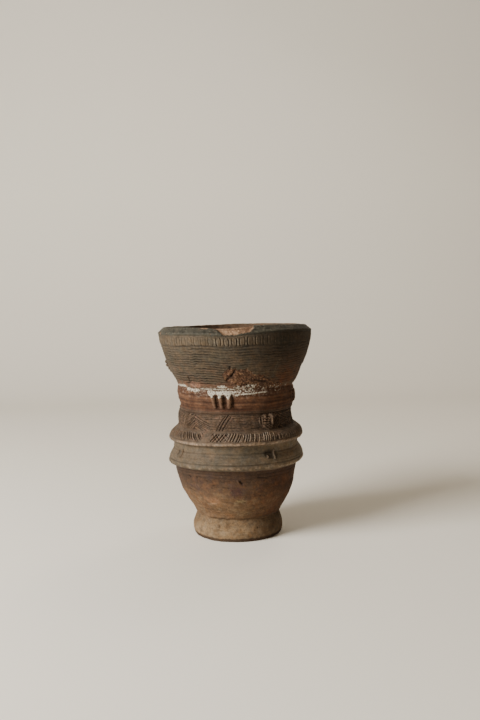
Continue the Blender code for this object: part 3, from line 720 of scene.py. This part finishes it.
def wall_ring(name, points, col, aux, sharp_rows):
    """A closed ring from a grid of points (rows, COLUMNS, 3): down the outside, up the inside."""
    rows = points.shape[0]
    i = np.arange(rows)[:, None]
    j = np.arange(COLUMNS)[None, :]
    i2, j2 = (i + 1) % rows, (j + 1) % COLUMNS
    quads = np.stack([i * COLUMNS + j, i2 * COLUMNS + j, i2 * COLUMNS + j2, i * COLUMNS + j2], axis=-1)
    u0, u1 = j / COLUMNS + 0.0 * i, (j + 1) / COLUMNS + 0.0 * i
    v0, v1 = 1.0 - i / rows + 0.0 * j, 1.0 - (i + 1) / rows + 0.0 * j
    uv = np.stack([
        np.stack([u0, v0], -1), np.stack([u0, v1], -1), np.stack([u1, v1], -1), np.stack([u1, v0], -1)
    ], axis=2)
    uv = 0.002 + uv * 0.996
    mesh = mesh_from(name, warp(points).reshape(-1, 3), quads.reshape(-1, 4), uv.reshape(-1, 2))
    sharpen(mesh, np.repeat(np.arange(rows), COLUMNS), sharp_rows)
    store(mesh, col, aux)
    obj = bpy.data.objects.new(name, mesh)
    bpy.context.scene.collection.objects.link(obj)
    return obj


def outer_rows(z):
    """Points, colours and gloss on the outer surface at heights z (rows,)."""
    az = np.broadcast_to(AZ[None, :], (len(z), COLUMNS))
    zz = np.broadcast_to(z[:, None], az.shape)
    d, fine = relief(az, zz)
    s = slope_out(zz)
    n = np.sqrt(1.0 + s * s)
    r, h = r_out(zz) + d / n, zz - d * s / n
    c, gloss = colour(az, zz, fine)
    return base_point(az, h, r), c, gloss


def inner_rows(z):
    az = np.broadcast_to(AZ[None, :], (len(z), COLUMNS))
    zz = np.broadcast_to(z[:, None], az.shape)
    r = r_in(zz) + relief_in(az, zz)
    return base_point(az, zz, r), colour_in(az, zz), 0.0 * zz


LAP = 0.42
inner_z = {}
for joint in (36.0, 112.0, 152.0, 188.0, 212.0, 252.0, 335.5):
    zi = joint
    for _ in range(20):
        zi = joint + LAP * (float(r_out(joint)) - float(r_in(zi)))
    inner_z[joint] = zi


def even_heights(top, bottom, step):
    """Heights evenly spaced along the outer profile, so undercuts get rows too."""
    z = np.linspace(top, bottom, 3000)
    s = np.concatenate([[0.0], np.cumsum(np.hypot(np.diff(z), np.diff(r_out(z))))])
    return np.interp(np.linspace(0.0, s[-1], int(round(s[-1] / step)) + 1), s, z)


def section_ring(name, top, bottom, step=0.8, inner_step=4.0, wall=None):
    """One wall section between two joints; wall is a plain inner radius for the cordons."""
    po, co, go = outer_rows(even_heights(top, bottom, step))
    if wall is None:
        zt, zb = inner_z.get(top, top), inner_z.get(bottom, bottom)
        n = max(2, int(round((zt - zb) / inner_step)) + 1)
        pi, ci, gi = inner_rows(np.linspace(zb, zt, n))
    else:
        zi = np.array([bottom + 0.4, 0.5 * (top + bottom), top - 0.4])
        az = np.broadcast_to(AZ[None, :], (3, COLUMNS))
        zz = np.broadcast_to(zi[:, None], az.shape)
        pi = base_point(az, zz, wall + 0.0 * zz)
        ci, gi = np.broadcast_to(CORDON * 0.6, pi.shape), 0.0 * zz
    pts = np.concatenate([po, pi])
    col = np.concatenate([co, ci])
    gloss = np.concatenate([go, gi])
    aux = np.stack([gloss, 0 * gloss, 0 * gloss], axis=-1)
    m = len(po)
    return wall_ring(name, pts, col, aux, [0, m - 1, m, len(pts) - 1])


# ------------------------------------------------------------------ materials
def clay(name, base_rough=0.86, grain=1.0):
    """Fired clay: painted zones from the surface's own colour, with grain, dust and pores."""
    mat = bpy.data.materials.new(name)
    mat.use_nodes = True
    nt = mat.node_tree
    bsdf = nt.nodes["Principled BSDF"]
    bsdf.inputs["Specular IOR Level"].default_value = 0.17
    link = nt.links.new

    def node(kind, **values):
        n = nt.nodes.new(kind)
        for key, value in values.items():
            if key in n.inputs:
                n.inputs[key].default_value = value
            else:
                setattr(n, key, value)
        return n

    geo = node("ShaderNodeTexCoord")
    col = node("ShaderNodeAttribute", attribute_name="Col")
    aux = node("ShaderNodeAttribute", attribute_name="Aux")
    split = node("ShaderNodeSeparateColor")
    link(aux.outputs["Color"], split.inputs[0])

    def noise_tex(scale, detail, rough=0.6):
        n = node("ShaderNodeTexNoise")
        n.inputs["Scale"].default_value = scale
        n.inputs["Detail"].default_value = detail
        n.inputs["Roughness"].default_value = rough
        link(geo.outputs["Object"], n.inputs["Vector"])
        return n

    fine = noise_tex(1100.0, 3.0)
    medium = noise_tex(260.0, 4.0, 0.65)
    pores = node("ShaderNodeTexVoronoi")
    pores.inputs["Scale"].default_value = 420.0
    link(geo.outputs["Object"], pores.inputs["Vector"])

    def ramp(src, lo, hi, to_lo, to_hi):
        r = node("ShaderNodeMapRange")
        r.inputs["From Min"].default_value = lo
        r.inputs["From Max"].default_value = hi
        r.inputs["To Min"].default_value = to_lo
        r.inputs["To Max"].default_value = to_hi
        link(src, r.inputs["Value"])
        return r.outputs["Result"]

    def math_node(op, a, b):
        m = node("ShaderNodeMath", operation=op)
        for k, v in enumerate((a, b)):
            if isinstance(v, float):
                m.inputs[k].default_value = v
            else:
                link(v, m.inputs[k])
        return m.outputs[0]

    shade = math_node(
        "MULTIPLY", ramp(fine.outputs[0], 0.3, 0.7, 1.0 - 0.13 * grain, 1.0 + 0.13 * grain),
        ramp(medium.outputs[0], 0.3, 0.7, 1.0 - 0.12 * grain, 1.0 + 0.12 * grain),
    )
    shade = math_node("MULTIPLY", shade, ramp(pores.outputs["Distance"], 0.0, 0.28, 0.80, 1.0))
    tint = node("ShaderNodeVectorMath", operation="SCALE")
    link(col.outputs["Color"], tint.inputs[0])
    link(shade, tint.inputs["Scale"])
    link(tint.outputs[0], bsdf.inputs["Base Color"])

    rough = ramp(medium.outputs[0], 0.3, 0.7, base_rough - 0.07, base_rough + 0.07)
    rough = math_node("SUBTRACT", rough, math_node("MULTIPLY", split.outputs[0], 0.42))
    link(rough, bsdf.inputs["Roughness"])

    height = math_node("ADD", math_node("MULTIPLY", fine.outputs[0], 0.55), medium.outputs[0])
    height = math_node("ADD", height, ramp(pores.outputs["Distance"], 0.0, 0.22, -0.5, 0.0))
    bump = node("ShaderNodeBump")
    bump.inputs["Strength"].default_value = 0.55
    bump.inputs["Distance"].default_value = 0.00045 * grain
    link(height, bump.inputs["Height"])
    link(bump.outputs[0], bsdf.inputs["Normal"])
    return mat


MATS = {
    "rim_clay": clay("smoked_rim_clay", 0.80, 0.9),
    "head_clay": clay("combed_head_clay", 0.86, 1.0),
    "collar_slip": clay("red_slip_clay", 0.82, 0.8),
    "band_clay": clay("patterned_band_clay", 0.86, 1.0),
    "cordon_clay": clay("cordon_clay_fine", 0.78, 0.75),
    "girdle_clay": clay("girdle_wall_clay", 0.90, 1.0),
    "belly_clay": clay("belly_clay_fine", 0.82, 0.85),
    "foot_clay": clay("buff_foot_clay", 0.90, 1.0),
    "applied_clay": clay("applied_clay_fine", 0.86, 1.0),
}


def finish_piece(obj, node, slot):
    obj.data.materials.append(MATS[slot])
    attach(obj, "root")
    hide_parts(node)
    return obj


# ------------------------------------------------------------------ wall sections
finish_piece(section_ring("head_bowl_fine", 335.5, 252.0, 0.80), "head_bowl", "head_clay")
finish_piece(section_ring("waist_collar_fine", 252.0, 212.0, 0.55), "waist_collar", "collar_slip")
finish_piece(section_ring("patterned_band_fine", 212.0, 188.0, 0.42), "patterned_band", "band_clay")
finish_piece(section_ring("upper_cordon_fine", 188.0, 152.0, 0.55, wall=96.35), "upper_cordon", "cordon_clay")
finish_piece(section_ring("lower_cordon_fine", 152.0, 112.0, 0.62, wall=100.35), "lower_cordon", "cordon_clay")
finish_piece(section_ring("belly_bowl_fine", 112.0, 36.0, 0.85), "belly_bowl", "belly_clay")


def foot_piece():
    z = np.concatenate([np.linspace(36.0, 3.0, 42), np.array([2.4, 1.8, 1.3, 0.9, 0.5, 0.25])])
    po, co, go = outer_rows(z)
    # the underside: a worn flat ring, a little uneven at its edges
    rb = np.linspace(72.4, 63.2, 9)
    az = np.broadcast_to(AZ[None, :], (len(rb), COLUMNS))
    rr = np.broadcast_to(rb[:, None], az.shape)
    q = base_point(az, 0.0 * az, rr)
    lift = 0.12 + 0.10 * noise(q / 6.0, 301) + 0.25 * smooth(70.8, 72.2, rr) + 0.25 * (1.0 - smooth(63.2, 64.4, rr))
    pb = base_point(az, np.clip(lift, 0.0, 1.0), rr)
    cb = mix(rgb(0.045, 0.030, 0.020) + 0 * pb, FOOT * 0.6, smooth(-0.1, 0.6, fbm(q, 12.0, 3, 302)))
    zt = inner_z[36.0]
    pi, ci, gi = inner_rows(np.linspace(0.9, zt, 14))
    pts, col = np.concatenate([po, pb, pi]), np.concatenate([co, cb, ci])
    pts[..., 2] = np.maximum(pts[..., 2], 0.0)
    gloss = np.concatenate([go, 0.0 * lift, gi])
    aux = np.stack([gloss, 0 * gloss, 0 * gloss], axis=-1)
    return wall_ring("foot_ring_fine", pts, col, aux, [0, len(pts) - 1])


finish_piece(foot_piece(), "foot_ring", "foot_clay")


def girdle_piece():
    top, bottom = 188.0, 112.0
    az = np.broadcast_to(AZ[None, :], (6, COLUMNS))
    z = np.array([188.0, 170.0, 152.3, 151.7, 130.0, 112.0])
    r = np.array([96.0, 95.9, 96.0, 100.0, 99.9, 100.0])
    po = base_point(az, np.broadcast_to(z[:, None], az.shape), np.broadcast_to(r[:, None], az.shape))
    pi, ci, gi = inner_rows(np.linspace(inner_z[bottom], inner_z[top], 44))
    co = np.broadcast_to(INSIDE, po.shape)
    pts, col = np.concatenate([po, pi]), np.concatenate([co, ci])
    gloss = np.zeros(pts.shape[:2])
    return wall_ring("girdle_wall_fine", pts, col, np.stack([gloss] * 3, -1), [0, 5, 6, len(pts) - 1])


finish_piece(girdle_piece(), "girdle_wall", "girdle_clay")


# ------------------------------------------------------------------ rim
def rim_piece():
    # section: under the arris, round it, up the bevel, across the lip and down inside
    path = [(128.3, 335.5), (128.75, 340.0), (128.6, 341.2), (128.0, 342.0), (120.8, 348.9), (119.9, 349.6), (118.6, 350.0), (116.8, 350.0), (116.0, 349.6), (115.7, 348.8), (116.6, 344.5), (117.5, 340.0)]
    r = np.array([p[0] for p in path])
    z = np.array([p[1] for p in path])
    length = np.concatenate([[0.0], np.cumsum(np.hypot(np.diff(r), np.diff(z)))])
    s_arris, s_lip_out, s_lip_in = length[2], length[5], length[8]
    t = np.concatenate([
        np.linspace(0.0, s_arris - 1.0, 9)[:-1], np.linspace(s_arris - 1.0, s_arris + 1.4, 8)[:-1],
        np.linspace(s_arris + 1.4, s_lip_out - 0.8, 22)[:-1], np.linspace(s_lip_out - 0.8, s_lip_in + 1.2, 17)[:-1],
        np.linspace(s_lip_in + 1.2, length[-1], 8),
    ])
    # a little rounding of the section
    rr, zz = np.interp(t, length, r), np.interp(t, length, z)
    tangent_r = np.gradient(rr, t)
    tangent_z = np.gradient(zz, t)
    norm = np.hypot(tangent_r, tangent_z)
    nr, nz = tangent_z / norm, -tangent_r / norm
    az = np.broadcast_to(AZ[None, :], (len(t), COLUMNS))
    T = np.broadcast_to(t[:, None], az.shape)
    R = np.broadcast_to(rr[:, None], az.shape)
    Z = np.broadcast_to(zz[:, None], az.shape)
    NR = np.broadcast_to(nr[:, None], az.shape)
    NZ = np.broadcast_to(nz[:, None], az.shape)
    q = base_point(az, Z, R)

    # below the arris the rim follows the head's own surface and stamping
    d_wall, fine_wall = relief(az, np.minimum(Z, 341.0))
    wall = 1.0 - smooth(s_arris - 3.0, s_arris + 0.5, T)
    d = d_wall * wall
    fine = fine_wall * wall
    off = 1.0 - wall
    bevel = band(T, s_arris + 0.2, s_lip_out, 0.8)
    d = d + off * (0.35 * fbm(q, 30.0, 2, 310) + 0.30 * fbm(q, 8.0, 2, 311))
    fine = fine + off * 0.16 * (noise(q / 2.2, 312) + 0.7 * noise(q / 1.1, 313))
    # soft tooled lines along the bevel
    fine = fine - bevel * 0.28 * (hump(T, s_arris + 4.2, 0.8) + hump(T, s_arris + 8.4, 0.7))
    d = d + bevel * 0.35 * noise(q / 5.0, 314)
    # nibbled arris and lip
    x = base_point(az, 0.0 * Z, 128.0)
    nib = smooth(0.42, 0.80, noise(x / 6.0, 320)) * hump(T, s_arris, 1.4) * 0.9
    nib = nib + smooth(0.42, 0.78, noise(x / 4.0, 321)) * hump(T, s_lip_out, 1.5) * 1.1
    nib = nib + smooth(0.45, 0.80, noise(x / 5.0, 322)) * hump(T, s_lip_in, 1.4) * 1.2
    # the small clean chip on the left of the arris, and one at the back
    for a0, size in ((-72.0, 3.6), (138.0, 3.0), (-128.0, 2.4)):
        nib = nib + 1.9 * np.exp(-((np.hypot(wrap(az - a0) * 2.2, (T - s_arris) * 1.1) / size) ** 2))
    # long flat flake along the lip, left of the big break, and a short crack at its other end
    sliver = smooth(0.0, 0.3, 1.0 - np.hypot(wrap(az + 22.5) / 3.4, (T - s_lip_out + 0.2) / 2.0) + 0.25 * noise(q / 2.5, 324))
    crack = np.exp(-((wrap(az - 21.6 + 1.2 * (T - s_lip_out) * 0.12) / 0.75) ** 2)) * band(T, s_lip_out - 4.5, s_lip_in, 0.7)
    # big break
    s = (s_lip_in + 0.3 - T) / (s_lip_in + 0.3 - (s_arris - 2.6))
    chip = chip_mask(wrap(az), s)
    hollow = 1.9 + 2.6 * np.clip(s * (1.15 - s) * 3.4, 0.0, 1.0) + 0.8 * noise(q / 6.0, 330) + 0.55 * noise(q / 2.6, 331)
    chip = chip * band(s, -0.02, 1.0, 0.05)
    d = d - chip * hollow - nib - 0.8 * sliver - 1.6 * crack
    fine = fine * (1.0 - chip) + chip * 0.35 * noise(q / 1.4, 332)
    d = d + fine
    a = wrap(az)
    lift = 0.4 * noise(base_point(az, 0 * Z, 60.0) / 14.0, 340) * smooth(s_arris, s_lip_out, T) * (1.0 - smooth(s_lip_in + 2.0, length[-1], T))
    keep_in = 1.0 - smooth(s_lip_in, length[-1], T)
    d = d * (keep_in + (1.0 - keep_in) * 0.0)
    pr, pz = R + NR * d, Z + NZ * d + lift
    # inside, blend into the inner wall
    inner = smooth(s_lip_in + 0.5, length[-1], T)
    pr = pr + relief_in(az, np.minimum(Z, 350.0)) * inner
    pts = base_point(az, pz, pr)

    # colours
    col, gloss = colour(az, np.where(T < s_arris, np.minimum(Z, 341.0), 345.0) + 0.0 * T, fine)
    mid, small, tiny = fbm(q, 12.0, 3, 350), fbm(q, 4.0, 2, 351), noise(q / 1.3, 352)
    rim_c = mix(RIM + 0 * q, RIM * 0.50, smooth(-0.1, 0.7, mid))
    rim_c = mix(rim_c, RIM_WORN, smooth(0.15, 0.8, small + 0.35 * tiny) * 0.60)
    rim_c = mix(rim_c, rgb(0.110, 0.070, 0.046), smooth(0.1, 0.8, fbm(q, 9.0, 2, 353)) * 0.45)
    rim_c = rim_c * (1.0 + 0.50 * band(wrap(az), 16.0, 52.0, 7.0))[..., None]
    edge = hump(T, s_lip_out - 0.2, 1.0) + 0.55 * hump(T, s_arris, 0.9)
    rim_c = mix(rim_c, RIM_WORN * 1.05, np.clip(edge, 0, 1) * 0.45 * smooth(-0.4, 0.5, small + 0.4 * mid))
    # painted shade in the hollows of the rim and paler ridges, as on the wall below
    rim_c = rim_c * np.exp(np.clip(fine * 0.6, -0.8, 0.3))[..., None] * (1.0 + 0.15 * tiny)[..., None]
    col = mix(col, rim_c, smooth(s_arris - 1.6, s_arris + 0.3, T + 0.5 * small))
    # the lip's top and the inside are bare brown clay
    bare = mix(rgb(0.205, 0.128, 0.078) + 0 * q, rgb(0.100, 0.066, 0.043), smooth(-0.2, 0.6, mid))
    col = mix(col, bare * (1.0 + 0.12 * tiny)[..., None], smooth(s_lip_out + 0.6, s_lip_in - 0.4, T + 0.5 * small))
    fresh = mix(FRESH + 0 * q, rgb(0.270, 0.150, 0.086), smooth(-0.1, 0.6, mid + 0.5 * small))
    fresh = mix(fresh, rgb(0.520, 0.360, 0.235), smooth(0.1, 0.7, tiny + 0.5 * small) * 0.55)
    fresh = mix(fresh, rgb(0.085, 0.045, 0.030), smooth(0.15, 0.7, -tiny - 0.6 * small) * 0.7)
    fresh = mix(fresh, rgb(0.170, 0.090, 0.055), chip * (1.0 - smooth(0.0, 0.35, s)) * smooth(-0.2, 0.4, small) * 0.6)
    amount = np.clip(chip + 0.7 * smooth(0.50, 1.0, nib) + 0.8 * sliver, 0.0, 1.0)
    col = mix(col, fresh, amount)
    col = mix(col, SOOT_AND_SHADE, 0.8 * crack)
    gloss = gloss * (1.0 - amount) * smooth(s_arris - 1.0, s_arris + 1.0, T) * (1.0 - smooth(s_lip_out, s_lip_in, T))

    # inner wall down to the joint
    zi = np.linspace(340.0, inner_z[335.5], 3)[1:] if inner_z[335.5] < 339.0 else None
    pts, col, gloss = pts[::-1], col[::-1], gloss[::-1]
    if zi is not None:
        pi, ci, gi = inner_rows(zi)
        # rows run from the inner joint up, over the lip and down outside
        pts = np.concatenate([pi[::-1], pts])
        col = np.concatenate([ci[::-1], col])
        gloss = np.concatenate([gi[::-1], gloss])
    aux = np.stack([gloss, 0 * gloss, 0 * gloss], axis=-1)
    return wall_ring("rim_coil_fine", pts, np.clip(col, 0.004, 0.9), aux, [0, len(pts) - 1])


finish_piece(rim_piece(), "rim_coil", "rim_clay")


# ------------------------------------------------------------------ applied pieces
def patch(name, az0, z0, half_u, half_v, height, seed, lean=0.0, spacing=0.5, sink=1.1, depth=2.4):
    """A pat of clay smeared onto the wall: its own closed body, its edge dying into the wall.

    height(u, v, q) gives how proud it stands, in millimetres, with u round the wall and
    v up it; outside the pat it is below zero.
    """
    nu, nv = int(half_u * 2 / spacing) + 1, int(half_v * 2 / spacing) + 1
    u = np.linspace(-half_u, half_u, nu)[None, :] + np.zeros((nv, 1))
    v = np.linspace(half_v, -half_v, nv)[:, None] + np.zeros((1, nu))
    zz = z0 + v
    k = math.radians(1.0) * r_out(zz)
    az = az0 + (u + lean * v) / k
    q = base_point(az, zz) + seed * 3.1
    h = np.clip(height(u, v, q), -sink, None)
    d, fine = relief(az, zz)
    s = slope_out(zz)
    n = np.sqrt(1.0 + s * s)

    def place(extra):
        t = d * np.clip(1.0 - 0.0 * extra, 0.0, 1.0) + extra
        return base_point(az, zz - t * s / n, r_out(zz) + t / n)

    top, under = warp(place(h)), warp(place(-depth + 0.0 * h))
    shape = h - 0.35 * fine
    col, gloss = colour(az, zz, np.clip(0.5 * fine, -0.3, 0.3))
    tiny, small = noise(q / 1.2, seed + 1), fbm(q, 4.0, 2, seed + 2)
    own = mix(col, rgb(0.170, 0.112, 0.073), 0.35 * smooth(0.2, 2.0, h) * (1.0 - crust_mask(az, zz)))
    gy, gx = np.gradient(h, spacing)
    steep = np.clip(np.hypot(gx, gy), 0.0, 3.0)
    # painted highlight on the high parts of the pat and painted shade on its steep sides, with random grain
    shade = 0.86 + 0.16 * small + 0.12 * tiny + 0.42 * smooth(1.2, 4.2, h) - 0.26 * smooth(0.8, 2.2, steep)
    own = own * shade[..., None]
    m = nu * nv
    verts = np.concatenate([top.reshape(-1, 3), under.reshape(-1, 3)])
    idx = np.arange(m).reshape(nv, nu)
    quads = [np.stack([idx[:-1, :-1], idx[1:, :-1], idx[1:, 1:], idx[:-1, 1:]], -1).reshape(-1, 4)]
    low = idx + m
    quads.append(np.stack([low[:-1, :-1], low[:-1, 1:], low[1:, 1:], low[1:, :-1]], -1).reshape(-1, 4))
    border = np.concatenate([idx[0, ::-1], idx[1:, 0], idx[-1, 1:], idx[-2:0:-1, -1]])
    nxt = np.roll(border, -1)
    quads.append(np.stack([border, border + m, nxt + m, nxt], -1))
    mesh = mesh_from(name, verts, np.concatenate(quads))
    cols = np.concatenate([own.reshape(-1, 3), own.reshape(-1, 3) * 0.6])
    store(mesh, np.clip(cols, 0.004, 0.9), np.zeros_like(cols))
    obj = bpy.data.objects.new(name, mesh)
    bpy.context.scene.collection.objects.link(obj)
    return obj


def tooth(proud, top_w, low_w, half_v, bend=0.0, seed=0):
    """A pinched finger of clay: thick and wide above, narrower at its rounded foot."""

    def height(u, v, q):
        f = (v + half_v) / (2.0 * half_v)          # 0 at the foot, 1 at the top
        f = np.clip(f, 0.0, 1.0)
        w = low_w + (top_w - low_w) * f
        centre = bend * (1.0 - f) ** 2 * 2.0 + 0.5 * noise(q / 7.0, seed)
        across = np.clip(1.0 - np.abs((u - centre) / w) ** 2.4, -1.0, 1.0)
        body = proud * (0.66 + 0.34 * f) * np.sign(across) * np.abs(across) ** 0.62
        ends = smooth(-half_v, -half_v + 2.6, v) * (1.0 - smooth(half_v - 4.5, half_v + 0.5, v))
        rough = 0.35 * noise(q / 3.0, seed + 3) + 0.22 * noise(q / 1.4, seed + 4)
        return (body + rough * (body > 0)) * ends - 1.4 * (1.0 - ends) - 0.25

    return height


SIDES = (("a", -1.0), ("b", 0.0), ("c", 1.0))
for quarter, where in enumerate(("front", "right", "back", "left")):
    for side, offset in SIDES:
        seed = 400 + quarter * 10 + int(offset)
        wide = {"a": 4.8, "b": 4.6, "c": 5.4}[side]
        proud = {"a": 5.0, "b": 5.8, "c": 6.6}[side] * (1.0, 0.5, 0.9, 0.45)[quarter]
        bend = {"a": 0.7, "b": 0.2, "c": -1.0}[side]
        obj = patch(
            f"waist_strip_{where}_{side}_fine", -13.6 + 90.0 * quarter + 7.4 * offset + 0.6 * (side == "c"), 234.2, 7.2, 13.6,
            tooth(proud, wide, 3.2, 12.0, bend, seed), seed, spacing=0.42,
        )
        finish_piece(obj, f"waist_strip_{where}_{side}", "applied_clay")

DIAGONALS = ("front_right", "back_right", "back_left", "front_left")
for quarter, where in enumerate(DIAGONALS):
    for side, offset in (("a", -0.5), ("b", 0.5)):
        seed = 460 + quarter * 10 + int(offset * 2)
        tall = 9.5 if side == "b" else 5.0
        obj = patch(
            f"girdle_strip_{where}_{side}_fine", 31.3 + 90.0 * quarter + 7.0 * offset, 148.0 if side == "b" else 145.5,
            5.6, tall + 1.6, tooth((4.6 if side == "b" else 3.4) * (0.42 if where == "front_left" else 1.0), 1.7, 2.2, tall, -0.4, seed), seed, lean=0.22, spacing=0.42,
        )
        finish_piece(obj, f"girdle_strip_{where}_{side}", "applied_clay")


def boss_height(seed):
    def ridge(u, v, p, q, w, h):
        bx, by = q[0] - p[0], q[1] - p[1]
        t = np.clip(((u - p[0]) * bx + (v - p[1]) * by) / (bx * bx + by * by), 0.0, 1.0)
        d = np.hypot(u - p[0] - t * bx, v - p[1] - t * by)
        return h * np.exp(-((d / w) ** 2))

    def height(u, v, q):
        pad = 1.0 - np.hypot(u / 14.8, (v + 0.5) / 14.0) ** 2.6
        out = np.where(pad > 0, 1.3 * np.abs(pad) ** 0.6, -1.2 * np.abs(pad) ** 0.6) - 0.1
        parts = [
            ridge(u, v, (-14.0, 11.0), (-14.6, -4.0), 1.0, 2.0),
            ridge(u, v, (6.4, 8.4), (6.8, -3.4), 2.9, 5.0),
            ridge(u, v, (-6.2, 9.0), (-5.4, 6.6), 1.9, 2.8),
            ridge(u, v, (8.4, 12.0), (6.6, 9.4), 1.7, 2.6),
            ridge(u, v, (-8.4, -8.0), (-1.0, -14.0), 1.2, 2.2),
            ridge(u, v, (-4.6, -6.6), (3.6, -11.6), 1.2, 2.2),
            ridge(u, v, (1.2, -6.0), (7.2, -10.0), 1.2, 2.4),
            ridge(u, v, (-9.8, 6.0), (-9.4, -5.0), 1.0, 1.8),
        ]
        for level in (4.6, 0.6, -3.4):
            parts.append(ridge(u, v, (-9.4, level), (1.2, level - 0.4), 1.15, 2.7))
        top = np.maximum.reduce(parts)
        rough = 0.40 * noise(q / 2.6, seed) + 0.26 * noise(q / 1.4, seed + 1)
        pit = 1.5 * np.exp(-((np.hypot((u - 3.2) / 1.6, (v + 3.0) / 5.5)) ** 4))
        return out + (top - pit) * (pad > -0.3) + rough * (pad > 0)

    return height


for quarter, where in enumerate(DIAGONALS):
    seed = 520 + quarter * 10
    obj = patch(
        f"boss_{where}_fine", 33.0 + 90.0 * quarter, 201.0 - 1.2 * (quarter % 2), 16.4, 15.4, boss_height(seed), seed, spacing=0.42,
    )
    finish_piece(obj, f"boss_{where}", "applied_clay")


def lug_height(u, v, q):
    out = np.full_like(u, -1.3)
    for cu, cv, w, h in ((0.6, 6.6, 4.2, 3.4), (-1.4, 1.2, 4.8, 4.0), (1.0, -4.2, 4.2, 3.2), (2.2, -8.4, 3.2, 2.0)):
        out = np.maximum(out, h * (1.0 - (np.hypot(u - cu, v - cv) / w) ** 2.0))
    rough = 0.5 * noise(q / 3.2, 560) + 0.3 * noise(q / 1.5, 561)
    return out + rough * (out > -0.5)


finish_piece(patch("side_lug_fine", -88.0, 285.0, 8.0, 12.6, lug_height, 560, spacing=0.42), "side_lug", "applied_clay")


# ------------------------------------------------------------------ studio
def plain(name, colour_, rough):
    mat = bpy.data.materials.new(name)
    mat.use_nodes = True
    b = mat.node_tree.nodes["Principled BSDF"]
    b.inputs["Base Color"].default_value = (*colour_, 1.0)
    b.inputs["Roughness"].default_value = rough
    b.inputs["Specular IOR Level"].default_value = 0.2
    return mat


def sweep():
    """One pale sheet: the floor, curving up into the backdrop."""
    profile = [(-5.0, 0.0), (1.6, 0.0)]
    for k in range(1, 17):
        a = math.radians(90.0 * k / 16)
        profile.append((1.6 + 0.9 * math.sin(a), 0.9 - 0.9 * math.cos(a)))
    profile.append((2.5, 5.0))
    verts, faces = [], []
    for y, z in profile:
        verts += [(-6.0, y, z), (6.0, y, z)]
    for k in range(len(profile) - 1):
        faces.append((2 * k, 2 * k + 1, 2 * k + 3, 2 * k + 2))
    mesh = bpy.data.meshes.new("studio_floor")
    mesh.from_pydata(verts, [], faces)
    mesh.shade_smooth()
    obj = bpy.data.objects.new("studio_floor", mesh)
    obj.data.materials.append(plain("pale_floor", (0.85, 0.815, 0.735), 0.9))
    bpy.context.scene.collection.objects.link(obj)


sweep()


def area(name, location, target, size, power, tint):
    data = bpy.data.lights.new(name, "AREA")
    data.shape = "RECTANGLE"
    data.size, data.size_y = size
    data.energy = power
    data.color = tint
    obj = bpy.data.objects.new(name, data)
    obj.location = location
    obj.rotation_euler = (Vector(target) - Vector(location)).to_track_quat("-Z", "Y").to_euler()
    bpy.context.scene.collection.objects.link(obj)


area("window", (-2.18, -1.38, 1.28), (0.0, 0.0, 0.2), (1.4, 1.8), 194.0, (1.0, 0.965, 0.905))
area("back_fill", (0.85, 1.45, 2.15), (0.0, 0.0, 0.2), (0.7, 0.7), 10.0, (1.0, 0.90, 0.76))

world = bpy.data.worlds.new("studio_world")
bpy.context.scene.world = world
world.use_nodes = True
background = world.node_tree.nodes["Background"]
background.inputs["Color"].default_value = (1.0, 0.80, 0.58, 1.0)
background.inputs["Strength"].default_value = 0.20

camera_data = bpy.data.cameras.new("camera")
camera_data.lens = 40.0
camera_data.sensor_width = 36.0
camera = bpy.data.objects.new("camera", camera_data)
camera.matrix_world = (
    Matrix.Translation((0.0097, -1.3467, 0.4052))
    @ Matrix.Rotation(math.radians(90.0 - 4.81), 4, "X")
    @ Matrix.Rotation(math.radians(-1.2), 4, "Z")
)
bpy.context.scene.collection.objects.link(camera)
bpy.context.scene.camera = camera
